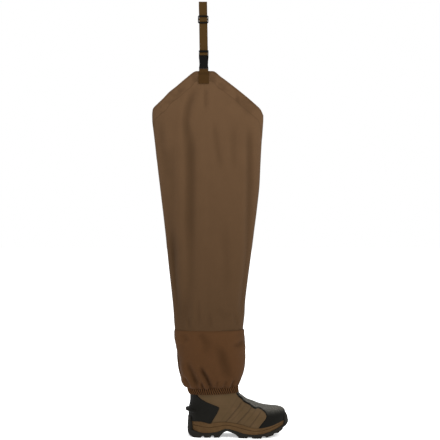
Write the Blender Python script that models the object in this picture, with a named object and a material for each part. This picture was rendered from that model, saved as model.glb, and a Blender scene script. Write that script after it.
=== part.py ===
# Hip wader for the right leg, standing on its sole, in metres.
# +Z is up, +X points to the toe and the outer side of the leg faces -Y.
# Shapes are worked out from the back of the heel and placed so that the origin is under the heel lug.
import math
from collections import namedtuple

import bpy
import bmesh
from mathutils import Vector

# General clearances
GAP = 0.0003
SEAM = 0.0004

# Sole and boot
SOLE_LENGTH = 0.303
BALL_WIDTH = 0.108
SOLE_HEIGHT = 0.050
HEEL_REST = 0.0606
HEEL_ROUND = 0.036
TOE_ROUND = 0.085
TIP = 0.045
HEEL_WRAP = 0.026
TOE_WRAP = 0.974
HEEL_WRAP_HEIGHT = 0.060
TOE_WRAP_HEIGHT = 0.062
TOE_WRAP_SLOPE = 0.004
TREAD_CHANNEL = 0.0035
GROOVE_DEPTH = 0.0012
GROOVE_BULGE = 0.0006
INSOLE_PLAY = 0.0008
INSOLE_ROUND = 0.002
RIM_WIDTH = 0.008
BED_WALL = 0.003
INSOLE_THICKNESS = 0.005
COLLAR_HEIGHT = 0.190
FEATHER = 0.0035
BOOT_WALL = 0.003
OVERLAY = 0.0025
SPUR = 0.0055
SPUR_REACH = 0.018

# Leg
LEG_HEIGHT = 1.0856
THIGH_WIDTH = 0.333
THIGH_DEPTH = 0.096
OVAL_POWER = 2.2
SHAFT_WALL = 0.0018
GAITER_WALL = 0.002
HEM_WALL = 0.0026
RIM_START = 0.880

HEM_FLARE = 0.0062
HEM_FRONT_FLARE = 0.004
HEM_FLARE_REACH = 0.090

# Belt strap and its hardware: each height is counted up from the piece below
STRAP_WIDTH = 0.0246
STRAP_THICKNESS = 0.0015
TAB_WIDTH = 0.0305
TAB_LOOP_WIDTH = 0.0242
TAB_LENGTH = 0.0376
TAB_BEND = 0.0196
TAB_SHOULDER = 0.0015
TAB_LAYER_STEP = 0.003
BAR_HEIGHT = LEG_HEIGHT + 0.0039
BAR_RADIUS = 0.0011
BAR_CLEARANCE = 1.45
STRAP_STAND_OFF = 0.002
BUCKLE_X = 0.0496
BUCKLE_HALF_DEPTH = 0.004
PLUG_HALF_DEPTH = 0.0019
STRAP_LEAN = -0.019
LADDER_HEIGHT = BAR_HEIGHT + 0.0460
TRIGLIDE_HEIGHT = LADDER_HEIGHT + 0.1025
TRIGLIDE_HALF_WIDTH = 0.0156
TRIGLIDE_HALF_HEIGHT = 0.0118
TRIGLIDE_CORNER = 0.004
TRIGLIDE_FRONT = 0.0019
TRIGLIDE_BACK = 0.0004
LOOP_TOP = TRIGLIDE_HEIGHT + 0.0528
LOOP_DEPTH = 0.0084

Plan = namedtuple("Plan", "along centre outer inner")
Line = namedtuple("Line", "along bottom top bed")
Tread = namedtuple("Tread", "along height")
Boot = namedtuple("Boot", "back back_height front front_height sag foot spread oval nose power")
Leg = namedtuple("Leg", "height back front depth tilt")
Rim = namedtuple("Rim", "across height")
Fold = namedtuple("Fold", "top_across top bottom_across bottom width depth")
Margin = namedtuple("Margin", "heel side toe")
Socket = namedtuple("Socket", "rise half")
Corner = namedtuple("Corner", "half rise")
Cut = namedtuple("Cut", "name half low high front back")
Step = namedtuple("Step", "level rise across deep")

# Plan of the sole: along is a share of SOLE_LENGTH, the others of BALL_WIDTH
PLAN = [
    Plan(0.00, 0.000, 0.360, 0.360),
    Plan(0.15, 0.000, 0.370, 0.360),
    Plan(0.30, 0.000, 0.365, 0.335),
    Plan(0.45, 0.000, 0.400, 0.300),
    Plan(0.55, -0.010, 0.440, 0.330),
    Plan(0.65, -0.010, 0.485, 0.415),
    Plan(0.73, 0.000, 0.500, 0.460),
    Plan(0.82, 0.020, 0.500, 0.470),
    Plan(0.92, 0.050, 0.490, 0.470),
    Plan(1.00, 0.075, 0.480, 0.470),
]

# Side lines of the midsole and its bed: heights are shares of SOLE_HEIGHT
LINES = [
    Line(0.000, 0.52, 0.94, 0.68),
    Line(0.106, 0.33, 0.98, 0.67),
    Line(0.158, 0.28, 0.92, 0.66),
    Line(0.221, 0.28, 0.82, 0.66),
    Line(0.294, 0.33, 0.90, 0.67),
    Line(0.373, 0.53, 0.92, 0.70),
    Line(0.416, 0.51, 0.90, 0.69),
    Line(0.479, 0.41, 0.85, 0.64),
    Line(0.551, 0.27, 0.77, 0.52),
    Line(0.604, 0.23, 0.66, 0.46),
    Line(0.663, 0.22, 0.58, 0.43),
    Line(0.739, 0.26, 0.62, 0.45),
    Line(0.812, 0.38, 0.73, 0.52),
    Line(0.884, 0.54, 0.86, 0.64),
    Line(0.941, 0.70, 0.96, 0.78),
    Line(1.000, 0.84, 1.02, 0.88),
]

# Underside of the outsole from heel to toe: flat rows are the lugs
TREAD = [
    Tread(0.000, 0.44),
    Tread(0.003, 0.30),
    Tread(0.010, 0.18),
    Tread(0.026, 0.09),
    Tread(0.030, 0.08),
    Tread(0.046, 0.04),
    Tread(0.069, 0.00),
    Tread(0.137, 0.00),
    Tread(0.145, 0.10),
    Tread(0.162, 0.10),
    Tread(0.171, 0.00),
    Tread(0.229, 0.00),
    Tread(0.239, 0.12),
    Tread(0.259, 0.12),
    Tread(0.267, 0.00),
    Tread(0.315, 0.00),
    Tread(0.332, 0.15),
    Tread(0.363, 0.34),
    Tread(0.390, 0.40),
    Tread(0.431, 0.33),
    Tread(0.475, 0.20),
    Tread(0.495, 0.10),
    Tread(0.507, 0.00),
    Tread(0.585, 0.00),
    Tread(0.596, 0.09),
    Tread(0.629, 0.09),
    Tread(0.641, 0.00),
    Tread(0.723, 0.00),
    Tread(0.733, 0.12),
    Tread(0.759, 0.13),
    Tread(0.775, 0.06),
    Tread(0.842, 0.17),
    Tread(0.851, 0.27),
    Tread(0.875, 0.29),
    Tread(0.891, 0.28),
    Tread(0.936, 0.45),
    Tread(0.944, 0.56),
    Tread(0.964, 0.62),
    Tread(0.974, 0.66),
    Tread(0.977, 0.67),
    Tread(0.988, 0.74),
    Tread(0.997, 0.82),
    Tread(1.000, 0.88),
]

# How far each ring is drawn in from the sole's outline
MIDSOLE_MARGIN = Margin(0.0093, 0.0015, 0.0075)
WRAP_OUTER = Margin(0.0018, 0.0, 0.0025)
WRAP_INNER = Margin(0.0038, 0.0006, 0.0064)
WRAP_LEDGE = Margin(0.0060, 0.0007, 0.0064)
WRAP_SEAT = Margin(0.0083, 0.0008, 0.0065)
WRAP_FOOT = Margin(0.0085, 0.0010, 0.0065)

# Fan of sections from the sole's edge to the collar: places are shares of SOLE_LENGTH,
# heights of COLLAR_HEIGHT, oval of BALL_WIDTH; foot is 1 where the sole's plan rules
BOOT = [
    Boot(0.031, 0.247, 0.964, 0.263, 1.00, 1.00, 1.000, 0.37, 0.27, 2.0),
    Boot(0.026, 0.295, 0.968, 0.316, 0.85, 1.00, 0.995, 0.37, 0.27, 2.0),
    Boot(0.020, 0.347, 0.962, 0.368, 0.65, 1.00, 0.975, 0.37, 0.28, 2.0),
    Boot(0.018, 0.389, 0.944, 0.413, 0.45, 0.98, 0.945, 0.37, 0.30, 1.9),
    Boot(0.018, 0.420, 0.901, 0.446, 0.30, 0.92, 0.925, 0.37, 0.34, 1.7),
    Boot(0.023, 0.458, 0.832, 0.463, 0.20, 0.84, 0.915, 0.37, 0.37, 1.6),
    Boot(0.028, 0.489, 0.749, 0.479, 0.10, 0.75, 0.910, 0.37, 0.38, 1.6),
    Boot(0.032, 0.521, 0.673, 0.505, 0.00, 0.65, 0.910, 0.37, 0.36, 1.6),
    Boot(0.035, 0.553, 0.614, 0.542, 0.00, 0.50, 0.910, 0.37, 0.33, 1.7),
    Boot(0.036, 0.584, 0.561, 0.582, 0.00, 0.35, 0.910, 0.37, 0.29, 1.8),
    Boot(0.036, 0.621, 0.512, 0.639, 0.00, 0.18, 0.910, 0.375, 0.25, 1.9),
    Boot(0.035, 0.674, 0.487, 0.705, 0.00, 0.05, 0.910, 0.385, 0.23, 2.0),
    Boot(0.033, 0.737, 0.472, 0.768, 0.00, 0.00, 0.910, 0.40, 0.22, 2.0),
    Boot(0.030, 0.816, 0.460, 0.842, 0.00, 0.00, 0.910, 0.42, 0.215, 2.0),
    Boot(0.026, 0.905, 0.455, 0.916, 0.00, 0.00, 0.910, 0.435, 0.2145, 2.0),
    Boot(0.026, 1.000, 0.455, 1.000, 0.00, 0.00, 0.910, 0.44, 0.2145, 2.0),
]
HEM_FROM = 10.75
HEM_TO = 12.25
HEM_STEPS = 4
SPUR_ROW = 4
COLLAR_ROWS = 2
UPPER_TIPS = (0.004, 0.018, 0.045, 0.978, 0.995)

# The leg: heights are shares of LEG_HEIGHT, places of THIGH_WIDTH, depth of THIGH_DEPTH
SHAFT = [
    Leg(0.155, 0.0155, 0.4250, 1.030, 0.0),
    Leg(0.180, 0.0100, 0.4300, 1.050, 0.0),
    Leg(0.205, -0.030, 0.452, 1.09, 0.0),
    Leg(0.240, -0.075, 0.480, 1.13, 0.0),
    Leg(0.272, -0.103, 0.497, 1.17, 0.0),
    Leg(0.304, -0.117, 0.508, 1.19, 0.0),
    Leg(0.334, -0.124, 0.519, 1.19, 0.0),
    Leg(0.367, -0.134, 0.525, 1.18, 0.0),
    Leg(0.417, -0.150, 0.542, 1.17, 0.0),
    Leg(0.467, -0.168, 0.561, 1.16, 0.0),
    Leg(0.517, -0.186, 0.582, 1.15, 0.0),
    Leg(0.567, -0.203, 0.603, 1.13, 0.0),
    Leg(0.616, -0.220, 0.625, 1.11, 0.0),
    Leg(0.683, -0.245, 0.649, 1.08, 0.0),
    Leg(0.732, -0.264, 0.656, 1.06, 0.0),
    Leg(0.782, -0.283, 0.663, 1.04, 0.0),
    Leg(0.832, -0.303, 0.672, 1.02, 0.0),
    Leg(0.865, -0.317, 0.680, 1.00, 0.0),
    Leg(0.890, -0.319, 0.682, 0.99, 0.0),
    Leg(0.940, -0.318, 0.682, 0.94, 0.0),
    Leg(1.000, -0.318, 0.682, 0.87, 0.0),
]
SHAFT_ROWS = (0.155, 0.180, 0.205, 0.240, 0.272, 0.304, 0.334, 0.367, 0.417, 0.467, 0.517, 0.567, 0.616)
SHAFT_HIGH_ROWS = (0.683, 0.732, 0.782)
RIM_STEPS = (0.0, 0.3, 0.55, 0.8, 1.0)
GAITER = [
    Leg(0.1358, -0.0070, 0.4520, 1.03, 0.0028),
    Leg(0.1385, -0.017, 0.4590, 1.10, 0.0028),
    Leg(0.1435, -0.031, 0.4670, 1.19, 0.0026),
    Leg(0.1520, -0.048, 0.482, 1.24, 0.0020),
    Leg(0.1690, -0.065, 0.501, 1.30, 0.0010),
    Leg(0.1850, -0.077, 0.511, 1.33, 0.0),
    Leg(0.2020, -0.086, 0.518, 1.345, 0.0),
    Leg(0.2180, -0.093, 0.522, 1.345, 0.0),
    Leg(0.2350, -0.096, 0.522, 1.335, 0.0),
    Leg(0.2510, -0.106, 0.523, 1.315, 0.0),
    Leg(0.2700, -0.117, 0.518, 1.28, 0.0),
    Leg(0.2925, -0.1195, 0.5135, 1.235, 0.0),
]

# Top edge: across runs from -1 at the back to 1 at the front, heights are shares of LEG_HEIGHT
OUTER_RIM = [
    Rim(-1.00, 0.886),
    Rim(-0.985, 0.899),
    Rim(-0.90, 0.912),
    Rim(-0.79, 0.927),
    Rim(-0.68, 0.944),
    Rim(-0.554, 0.959),
    Rim(-0.427, 0.9755),
    Rim(-0.339, 0.9865),
    Rim(-0.25, 0.9972),
    Rim(-0.20, 1.0000),
    Rim(0.10, 1.0000),
    Rim(0.145, 0.9972),
    Rim(0.226, 0.9865),
    Rim(0.324, 0.9755),
    Rim(0.465, 0.959),
    Rim(0.60, 0.943),
    Rim(0.73, 0.927),
    Rim(0.863, 0.9095),
    Rim(0.95, 0.897),
    Rim(1.00, 0.882),
]
INNER_RIM = [
    Rim(-1.0, 0.886),
    Rim(-0.6, 0.862),
    Rim(0.0, 0.846),
    Rim(0.6, 0.860),
    Rim(1.0, 0.882),
]
OUTER_ACROSS = (
    -1.0, -0.985, -0.94, -0.87, -0.78, -0.68, -0.58, -0.49, -0.41, -0.33, -0.25, -0.20, -0.10,
    0.0, 0.10, 0.145, 0.226, 0.324, 0.43, 0.54, 0.65, 0.75, 0.85, 0.93, 0.982, 1.0,
)
INNER_ACROSS = (0.97, 0.88, 0.75, 0.58, 0.38, 0.15, -0.10, -0.33, -0.55, -0.73, -0.88, -0.97)

# Broad troughs of the outer side: heights are shares of LEG_HEIGHT, width of the half section, depth of THIGH_DEPTH
FOLDS = [
    Fold(-0.31, 0.93, -0.62, 0.33, 0.11, 0.055),
    Fold(-0.70, 0.76, -0.87, 0.36, 0.08, 0.035),
    Fold(0.74, 0.88, 0.90, 0.36, 0.08, 0.040),
    Fold(0.12, 0.89, 0.25, 0.70, 0.09, 0.025),
]

# Half widths of the buckle's socket from its foot to its mouth, rising from the tab's bar
SOCKET = [
    Socket(0.0038, 0.0140),
    Socket(0.0095, 0.0131),
    Socket(0.0155, 0.0126),
    Socket(0.0275, 0.0134),
    Socket(0.0371, 0.0143),
]

# One half of the buckle's plug, from its top round the side arm to the tongue in the middle
PLUG = [
    Corner(0.0143, 0.0570),
    Corner(0.0143, 0.0377),
    Corner(0.0096, 0.0377),
    Corner(0.0096, 0.0293),
    Corner(0.0122, 0.0285),
    Corner(0.0118, 0.0225),
    Corner(0.0090, 0.0155),
    Corner(0.0066, 0.0155),
    Corner(0.0066, 0.0377),
    Corner(0.0018, 0.0377),
    Corner(0.0018, 0.0185),
]

# Openings of the hardware: half widths, heights from the piece's own level, depths from the strap's plane
SLOT_HALF = STRAP_WIDTH / 2 + GAP
SOCKET_CUTS = [
    Cut("tab_slot", TAB_LOOP_WIDTH / 2 + GAP, BAR_RADIUS, 0.0038, -0.0060, 0.0060),
    Cut("plug_cavity", 0.0106, 0.0110, 0.0405, -0.0024, 0.0024),
    Cut("arm_windows", 0.0200, 0.0165, 0.0300, -0.0024, 0.0024),
]
LADDER_CUTS = [
    Cut("ladder_upper_slot", SLOT_HALF, 0.0013, 0.0055, -0.0100, 0.0100),
    Cut("ladder_lower_slot", SLOT_HALF, -0.0041, -0.0013, -0.0100, 0.0100),
    Cut("ladder_back", SLOT_HALF, -0.0041, 0.0145, 0.0004, 0.0100),
    Cut("ladder_front", SLOT_HALF, -0.0035, 0.0025, -0.0100, -0.0010),
]
TRIGLIDE_CUTS = [
    Cut("triglide_lower_slot", SLOT_HALF + GAP, -0.0078, -0.0020, -0.0100, 0.0100),
    Cut("triglide_upper_slot", SLOT_HALF + GAP, 0.0020, 0.0076, -0.0100, 0.0100),
    Cut("triglide_recess", SLOT_HALF + GAP, -0.0030, 0.0030, -0.0100, -0.0015),
]

# The strap's middle line: from its sewn end down round the ladder bar, up through the triglide, over the
# belt loop and back down behind the triglide; across is from the strap's plane, deep a share of LOOP_DEPTH
STRAP_PATH = [
    Step("ladder", 0.0245, 0.0036, 0),
    Step("ladder", 0.0005, 0.0036, 0),
    Step("ladder", -0.0017, 0.0034, 0),
    Step("ladder", -0.0028, 0.0022, 0),
    Step("ladder", -0.0029, 0.0000, 0),
    Step("ladder", -0.0021, -0.0017, 0),
    Step("ladder", -0.0005, -0.0022, 0),
    Step("ladder", 0.0006, -0.0022, 0),
    Step("ladder", 0.0018, -0.0019, 0),
    Step("ladder", 0.0031, -0.0004, 0),
    Step("ladder", 0.0051, 0.0013, 0),
    Step("ladder", 0.0075, 0.0016, 0),
    Step("triglide", -0.0160, 0.0016, 0),
    Step("triglide", -0.0100, 0.0016, 0),
    Step("triglide", -0.0072, 0.0012, 0),
    Step("triglide", -0.0044, -0.0012, 0),
    Step("triglide", -0.0020, -0.0026, 0),
    Step("triglide", 0.0020, -0.0026, 0),
    Step("triglide", 0.0044, -0.0012, 0),
    Step("triglide", 0.0072, 0.0012, 0),
    Step("triglide", 0.0100, 0.0016, 0),
    Step("triglide", 0.0260, 0.0012, 0),
    Step("loop", -0.0045, 0.0016, 0),
    Step("loop", -0.0018, 0.0021, 0),
    Step("loop", 0.0000, 0.0038, 0),
    Step("loop", 0.0000, -0.0006, 1),
    Step("loop", -0.0018, 0.0011, 1),
    Step("loop", -0.0045, 0.0016, 1),
    Step("triglide", 0.0260, 0.0018, 1),
    Step("triglide", 0.0160, -0.0004, 1),
    Step("triglide", 0.0090, 0.0042, 0),
    Step("triglide", 0.0040, 0.0036, 0),
    Step("triglide", -0.0060, 0.0036, 0),
]


def linear(hex_colour):
    """Linear RGBA of an sRGB hex colour."""
    channels = []
    for start in (0, 2, 4):
        value = int(hex_colour[start:start + 2], 16) / 255
        channels.append(value / 12.92 if value <= 0.04045 else ((value + 0.055) / 1.055) ** 2.4)
    return (*channels, 1.0)


def paint(obj, hex_colour, roughness, metallic=0.0):
    """A plain material of this object's own."""
    material = bpy.data.materials.new(obj.name + "_material")
    material.use_nodes = True
    shader = material.node_tree.nodes["Principled BSDF"]
    shader.inputs["Base Color"].default_value = linear(hex_colour)
    shader.inputs["Roughness"].default_value = roughness
    shader.inputs["Metallic"].default_value = metallic
    obj.data.materials.append(material)


def place(mesh, name, crease=40):
    """An object for the mesh, moved so that the origin lies under the heel lug."""
    obj = bpy.data.objects.new(name, mesh)
    obj.location.x = -HEEL_REST
    bpy.context.scene.collection.objects.link(obj)
    for face in mesh.polygons:
        face.use_smooth = True
    mesh.set_sharp_from_angle(angle=math.radians(crease))
    return obj


def solid(name, points, faces, crease=40):
    mesh = bpy.data.meshes.new(name)
    mesh.from_pydata([tuple(point) for point in points], [], faces)
    shape = bmesh.new()
    shape.from_mesh(mesh)
    bmesh.ops.recalc_face_normals(shape, faces=shape.faces)
    shape.to_mesh(mesh)
    shape.free()
    return place(mesh, name, crease)


def straight(rows, key, column, at):
    """The column's value at this place, on straight lines between the rows."""
    for low, high in zip(rows, rows[1:]):
        start, end = getattr(low, key), getattr(high, key)
        if at <= end or high is rows[-1]:
            share = min(1.0, max(0.0, (at - start) / (end - start)))
            return getattr(low, column) * (1 - share) + getattr(high, column) * share


def smooth(rows, key, column, at):
    """The column's value at this place, on a smooth curve through the rows."""
    places = [getattr(row, key) for row in rows]
    values = [getattr(row, column) for row in rows]
    last = len(rows) - 1
    slopes = []
    for i in range(last + 1):
        low, high = max(0, i - 1), min(last, i + 1)
        slopes.append((values[high] - values[low]) / (places[high] - places[low]))
    at = min(places[-1], max(places[0], at))
    i = next(k for k in range(last) if at <= places[k + 1])
    step = places[i + 1] - places[i]
    t = (at - places[i]) / step
    rise = (2 * t ** 3 - 3 * t ** 2 + 1) * values[i] + (3 * t ** 2 - 2 * t ** 3) * values[i + 1]
    return rise + step * ((t ** 3 - 2 * t ** 2 + t) * slopes[i] + (t ** 3 - t ** 2) * slopes[i + 1])


def rounding(share, power=2.0):
    """A rounded end: 0 at the tip and 1 from where the share reaches 1."""
    share = min(1.0, max(0.0, share))
    return (1 - (1 - share) ** power) ** (1 / power)


def side_name(side):
    return "outer" if side < 0 else "inner"


def plan_y(x, side, heel_in, side_in, toe_in):
    """Sideways place of the sole's outline, drawn in by these margins."""
    along = x / SOLE_LENGTH
    half = BALL_WIDTH * smooth(PLAN, "along", side_name(side), along) - side_in
    ends = rounding((x - heel_in) / HEEL_ROUND) * rounding((SOLE_LENGTH - toe_in - x) / TOE_ROUND)
    return BALL_WIDTH * smooth(PLAN, "along", "centre", along) + side * half * ends


def squeezed(x, heel_in, toe_in):
    """Moves places near the tips inside the margins and leaves the rest where they are."""
    if x < TIP:
        return heel_in + x * (TIP - heel_in) / TIP
    if x > SOLE_LENGTH - TIP:
        return SOLE_LENGTH - toe_in - (SOLE_LENGTH - x) * (TIP - toe_in) / TIP
    return x


def outline(stations, height, heel_in=0.0, side_in=0.0, toe_in=0.0):
    """A ring from the heel along the outer side to the toe and back along the inner side."""
    outer, inner = [], []
    for station in stations:
        x = squeezed(station, heel_in, toe_in)
        z = height(station, x)
        outer.append(Vector((x, plan_y(x, -1, heel_in, side_in, toe_in), z)))
        inner.append(Vector((x, plan_y(x, 1, heel_in, side_in, toe_in), z)))
    return outer + inner[-2:0:-1]


def line_height(column, lift=0.0):
    """Height along one of the midsole's lines."""
    def height(station, x):
        return SOLE_HEIGHT * straight(LINES, "along", column, x / SOLE_LENGTH) + lift
    return height


def tube_faces(rows, columns, turned_from=None):
    """Faces of a stack of rings; from turned_from on the stack runs back down, and is split to match."""
    faces = []
    for row in range(rows - 1):
        turned = turned_from is not None and row >= turned_from
        for column in range(columns):
            right = (column + 1) % columns
            a, b = row * columns + column, row * columns + right
            c, d = a + columns, b + columns
            faces += [(a, b, c), (b, d, c)] if turned else [(a, b, d), (a, d, c)]
    return faces


def cap_faces(start, count):
    """Strips across a ring from one side to the other."""
    half = count // 2
    faces = []
    for i in range(half):
        left, right = (count - i) % count, count - i - 1
        ring = [i, i + 1, right, left]
        corners = list(dict.fromkeys(start + corner for corner in ring))
        faces.append(tuple(corners))
    return faces


def slab(rings, bottom=True):
    """A closed body of rings from its underside to its top."""
    count = len(rings[0])
    points = [point for ring in rings for point in ring]
    faces = tube_faces(len(rings), count) + cap_faces((len(rings) - 1) * count, count)
    if bottom:
        faces += cap_faces(0, count)
    return points, faces


def offset_rows(rows, distance, level_ends=True):
    """Each point moved along the surface's normal; distance is a number or a function of row and column."""
    count = len(rows[0])
    moved = []
    for r, ring in enumerate(rows):
        below, above = rows[max(0, r - 1)], rows[min(len(rows) - 1, r + 1)]
        new_ring = []
        for c, point in enumerate(ring):
            around = ring[(c + 1) % count] - ring[c - 1]
            normal = around.cross(above[c] - below[c])
            if level_ends and r in (0, len(rows) - 1):
                normal.z = 0
            normal.normalize()
            reach = distance(r, c) if callable(distance) else distance
            new_ring.append(point + normal * reach)
        moved.append(new_ring)
    return moved


def shell(name, outer, inner, crease=40):
    """A hollow wall between two stacks of rings, open at both ends."""
    count = len(outer[0])
    rings = outer + inner[::-1]
    points = [point for ring in rings for point in ring]
    faces = tube_faces(len(rings), count, len(outer))
    last = (len(rings) - 1) * count
    for column in range(count):
        right = (column + 1) % count
        faces.append((last + column, last + right, right, column))
    return solid(name, points, faces, crease)


def seated(rows):
    """The same rings with the lowest one set down on the midsole's top line."""
    top = line_height("top", SEAM)
    for point in rows[0]:
        point.z = top(point.x, point.x)
    return rows


def prism(name, outline_xz, near, far):
    """A hidden cutter: an outline in the side view, drawn across the width."""
    count = len(outline_xz)
    points = [Vector((x, y, z)) for y in (near, far) for x, z in outline_xz]
    faces = [tuple(range(count)), tuple(range(2 * count - 1, count - 1, -1))]
    for i in range(count):
        j = (i + 1) % count
        faces.append((i, j, count + j, count + i))
    return solid(name, points, faces)


def box(name, low, high):
    corners = [(low.x, low.z), (high.x, low.z), (high.x, high.z), (low.x, high.z)]
    return prism(name, corners, low.y, high.y)


def open_up(obj, rows, middle, level):
    """Cuts the openings of a table into a piece of the strap's hardware."""
    y = strap_plane()
    for row in rows:
        low = Vector((middle - row.half, y + row.front, level + row.low))
        high = Vector((middle + row.half, y + row.back, level + row.high))
        combine(obj, box(row.name, low, high), "DIFFERENCE")


def settled(obj, crease=40):
    """Keeps the cut shape as the object's own mesh, with its new edges marked, and clears the cutters."""
    cut = obj.evaluated_get(bpy.context.evaluated_depsgraph_get())
    mesh = bpy.data.meshes.new_from_object(cut)
    tools = [modifier.object for modifier in obj.modifiers]
    obj.modifiers.clear()
    obj.data = mesh
    mesh.set_sharp_from_angle(angle=math.radians(crease))
    for tool in tools:
        bpy.data.objects.remove(tool, do_unlink=True)
    return obj


def combine(obj, tool, operation):
    """Boolean with a hidden tool."""
    tool.hide_render = True
    tool.display_type = "WIRE"
    modifier = obj.modifiers.new(tool.name, "BOOLEAN")
    modifier.operation = operation
    modifier.solver = "EXACT"
    modifier.object = tool


def make_outsole():
    stations = [row.along * SOLE_LENGTH for row in TREAD]
    stations += [row.along * SOLE_LENGTH for row in LINES]
    spread = []
    for station in sorted(stations):
        if not spread or station - spread[-1] > GAP:
            spread.append(station)
    heel_top = SOLE_HEIGHT * LINES[0].top
    toe_top = SOLE_HEIGHT * LINES[-1].top

    def tread(station, x):
        return SOLE_HEIGHT * straight(TREAD, "along", "height", station / SOLE_LENGTH)

    def wrap(heel, toe):
        def height(station, x):
            if station <= HEEL_WRAP * SOLE_LENGTH + GAP:
                return heel
            if station >= TOE_WRAP * SOLE_LENGTH - GAP:
                return toe
            return under_midsole(station, x)
        return height

    under_midsole = line_height("bottom", -SEAM)
    rings = [
        outline(spread, tread),
        outline(spread, wrap(HEEL_WRAP_HEIGHT, TOE_WRAP_HEIGHT - TOE_WRAP_SLOPE), *WRAP_OUTER),
        outline(spread, wrap(HEEL_WRAP_HEIGHT, TOE_WRAP_HEIGHT + TOE_WRAP_SLOPE), *WRAP_INNER),
        outline(spread, wrap(heel_top, toe_top), *WRAP_LEDGE),
        outline(spread, wrap(heel_top - SEAM, toe_top - SEAM), *WRAP_SEAT),
        outline(spread, under_midsole, *WRAP_FOOT),
    ]
    points, faces = slab(rings, bottom=False)
    count = len(spread)
    ring_count = len(rings[0])
    channels = ((-0.38, 0.0), (-0.32, 1.0), (-0.26, 0.0), (0.26, 0.0), (0.32, 1.0), (0.38, 0.0))
    grid = []
    for i in range(1, count - 1):
        outer, inner = rings[0][i], rings[0][ring_count - i]
        row = [i]
        for across, deep in channels:
            row.append(len(points))
            share = (across + 1) / 2
            points.append(outer.lerp(inner, share) + Vector((0, 0, deep * TREAD_CHANNEL)))
        row.append(ring_count - i)
        grid.append(row)
    for low, high in zip(grid, grid[1:]):
        for k in range(len(low) - 1):
            faces.append((low[k], low[k + 1], high[k + 1], high[k]))
    for tip, row in ((0, grid[0]), (count - 1, grid[-1])):
        for k in range(len(row) - 1):
            faces.append((tip, row[k], row[k + 1]))
    paint(solid("outsole", points, faces, 30), "242320", 0.7)


def upper_stations():
    shares = sorted({row.along for row in LINES} | set(UPPER_TIPS))
    return [share * SOLE_LENGTH for share in shares]


def make_midsole():
    stations = upper_stations()
    bottom, top, bed = line_height("bottom"), line_height("top"), line_height("bed")

    def between(share, drawn_in):
        def height(station, x):
            return bottom(station, x) * (1 - share) + top(station, x) * share
        return outline(stations, height, *(margin + drawn_in for margin in MIDSOLE_MARGIN))

    rings = [
        between(0.0, 0.0),
        between(0.52, -GROOVE_BULGE),
        between(0.57, GROOVE_DEPTH),
        between(0.62, -GROOVE_BULGE),
        between(1.0, 0.0),
        outline(stations, top, *(margin + RIM_WIDTH for margin in MIDSOLE_MARGIN)),
        outline(stations, bed, *(margin + RIM_WIDTH + BED_WALL for margin in MIDSOLE_MARGIN)),
    ]
    points, faces = slab(rings)
    paint(solid("midsole", points, faces, 30), "55412A", 0.75)


def make_insole():
    stations = upper_stations()[1:-1]
    margins = [margin + RIM_WIDTH + BED_WALL + INSOLE_PLAY for margin in MIDSOLE_MARGIN]
    rounded = [margin + INSOLE_ROUND for margin in margins]
    rings = [
        outline(stations, line_height("bed", SEAM), *margins),
        outline(stations, line_height("bed", SEAM + 0.8 * INSOLE_THICKNESS), *margins),
        outline(stations, line_height("bed", SEAM + INSOLE_THICKNESS), *rounded),
    ]
    points, faces = slab(rings)
    paint(solid("insole", points, faces), "3A3733", 0.9)


def boot_row(number):
    """The section at this row number, which may lie between two rows."""
    low = min(int(number), len(BOOT) - 2)
    share = number - low
    return Boot(*(a * (1 - share) + b * share for a, b in zip(BOOT[low], BOOT[low + 1])))


def boot_ring(number):
    """One ring of the boot's outer surface."""
    row = boot_row(number)
    back, front = row.back * SOLE_LENGTH, row.front * SOLE_LENGTH
    stations = upper_stations()
    top = line_height("top", SEAM)
    outer, inner = [], []
    for station in stations:
        share = station / SOLE_LENGTH
        if number == 0:
            x = squeezed(station, back, SOLE_LENGTH - front)
        else:
            x = back + (front - back) * share
        along = x / SOLE_LENGTH
        z = COLLAR_HEIGHT * (row.back_height * (1 - share) + row.front_height * share)
        chord = top(0, 0) * (1 - along) + top(SOLE_LENGTH, SOLE_LENGTH) * along
        z += row.sag * (top(x, x) - chord)
        if number == 0:
            z = top(x, x)
        heel = (front - back) / 2 * (1 - row.foot) + HEEL_ROUND * row.foot
        nose = min(front - back, row.nose * SOLE_LENGTH)
        ends = rounding((x - back) / heel) * rounding((front - x) / nose, row.power)
        centre = row.foot * BALL_WIDTH * smooth(PLAN, "along", "centre", along)
        for side, line in ((-1, outer), (1, inner)):
            plan = BALL_WIDTH * smooth(PLAN, "along", side_name(side), along) - FEATHER
            half = BALL_WIDTH * row.oval * (1 - row.foot) + plan * row.spread * row.foot
            line.append(Vector((x, centre + side * half * ends, z)))
    return outer + inner[-2:0:-1]


def boot_rings():
    return [boot_ring(number) for number in range(len(BOOT))]


def make_boot_upper():
    outer = boot_rings()
    inner = seated(offset_rows(outer, -BOOT_WALL))
    kept = [ring for r, ring in enumerate(inner) if r % 2 == 0 or r == len(inner) - 1]
    paint(shell("boot_upper", outer, kept), "5C4A35", 0.6)


def side_view(points):
    """Outline points given as shares of SOLE_LENGTH and COLLAR_HEIGHT."""
    return [(x * SOLE_LENGTH, z * COLLAR_HEIGHT) for x, z in points]


def make_toe_cap():
    rings = boot_rings()[:-COLLAR_ROWS]
    cap = shell("toe_cap", seated(offset_rows(rings, GAP + OVERLAY)), seated(offset_rows(rings, GAP)))
    edge = [
        (0.425, 0.83), (0.460, 0.80), (0.477, 0.712), (0.489, 0.659), (0.504, 0.630), (0.526, 0.598),
        (0.549, 0.563), (0.589, 0.537), (0.642, 0.484), (0.672, 0.466), (0.702, 0.461),
        (0.738, 0.435), (0.765, 0.405), (0.774, 0.370), (0.765, 0.323), (0.738, 0.263),
        (0.709, 0.197), (0.686, 0.120), (1.20, 0.120), (1.20, 0.83),
    ]
    combine(cap, prism("toe_cap_edge", side_view(edge), -BALL_WIDTH, BALL_WIDTH), "INTERSECT")
    paint(settled(cap), "2B2926", 0.65)


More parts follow.
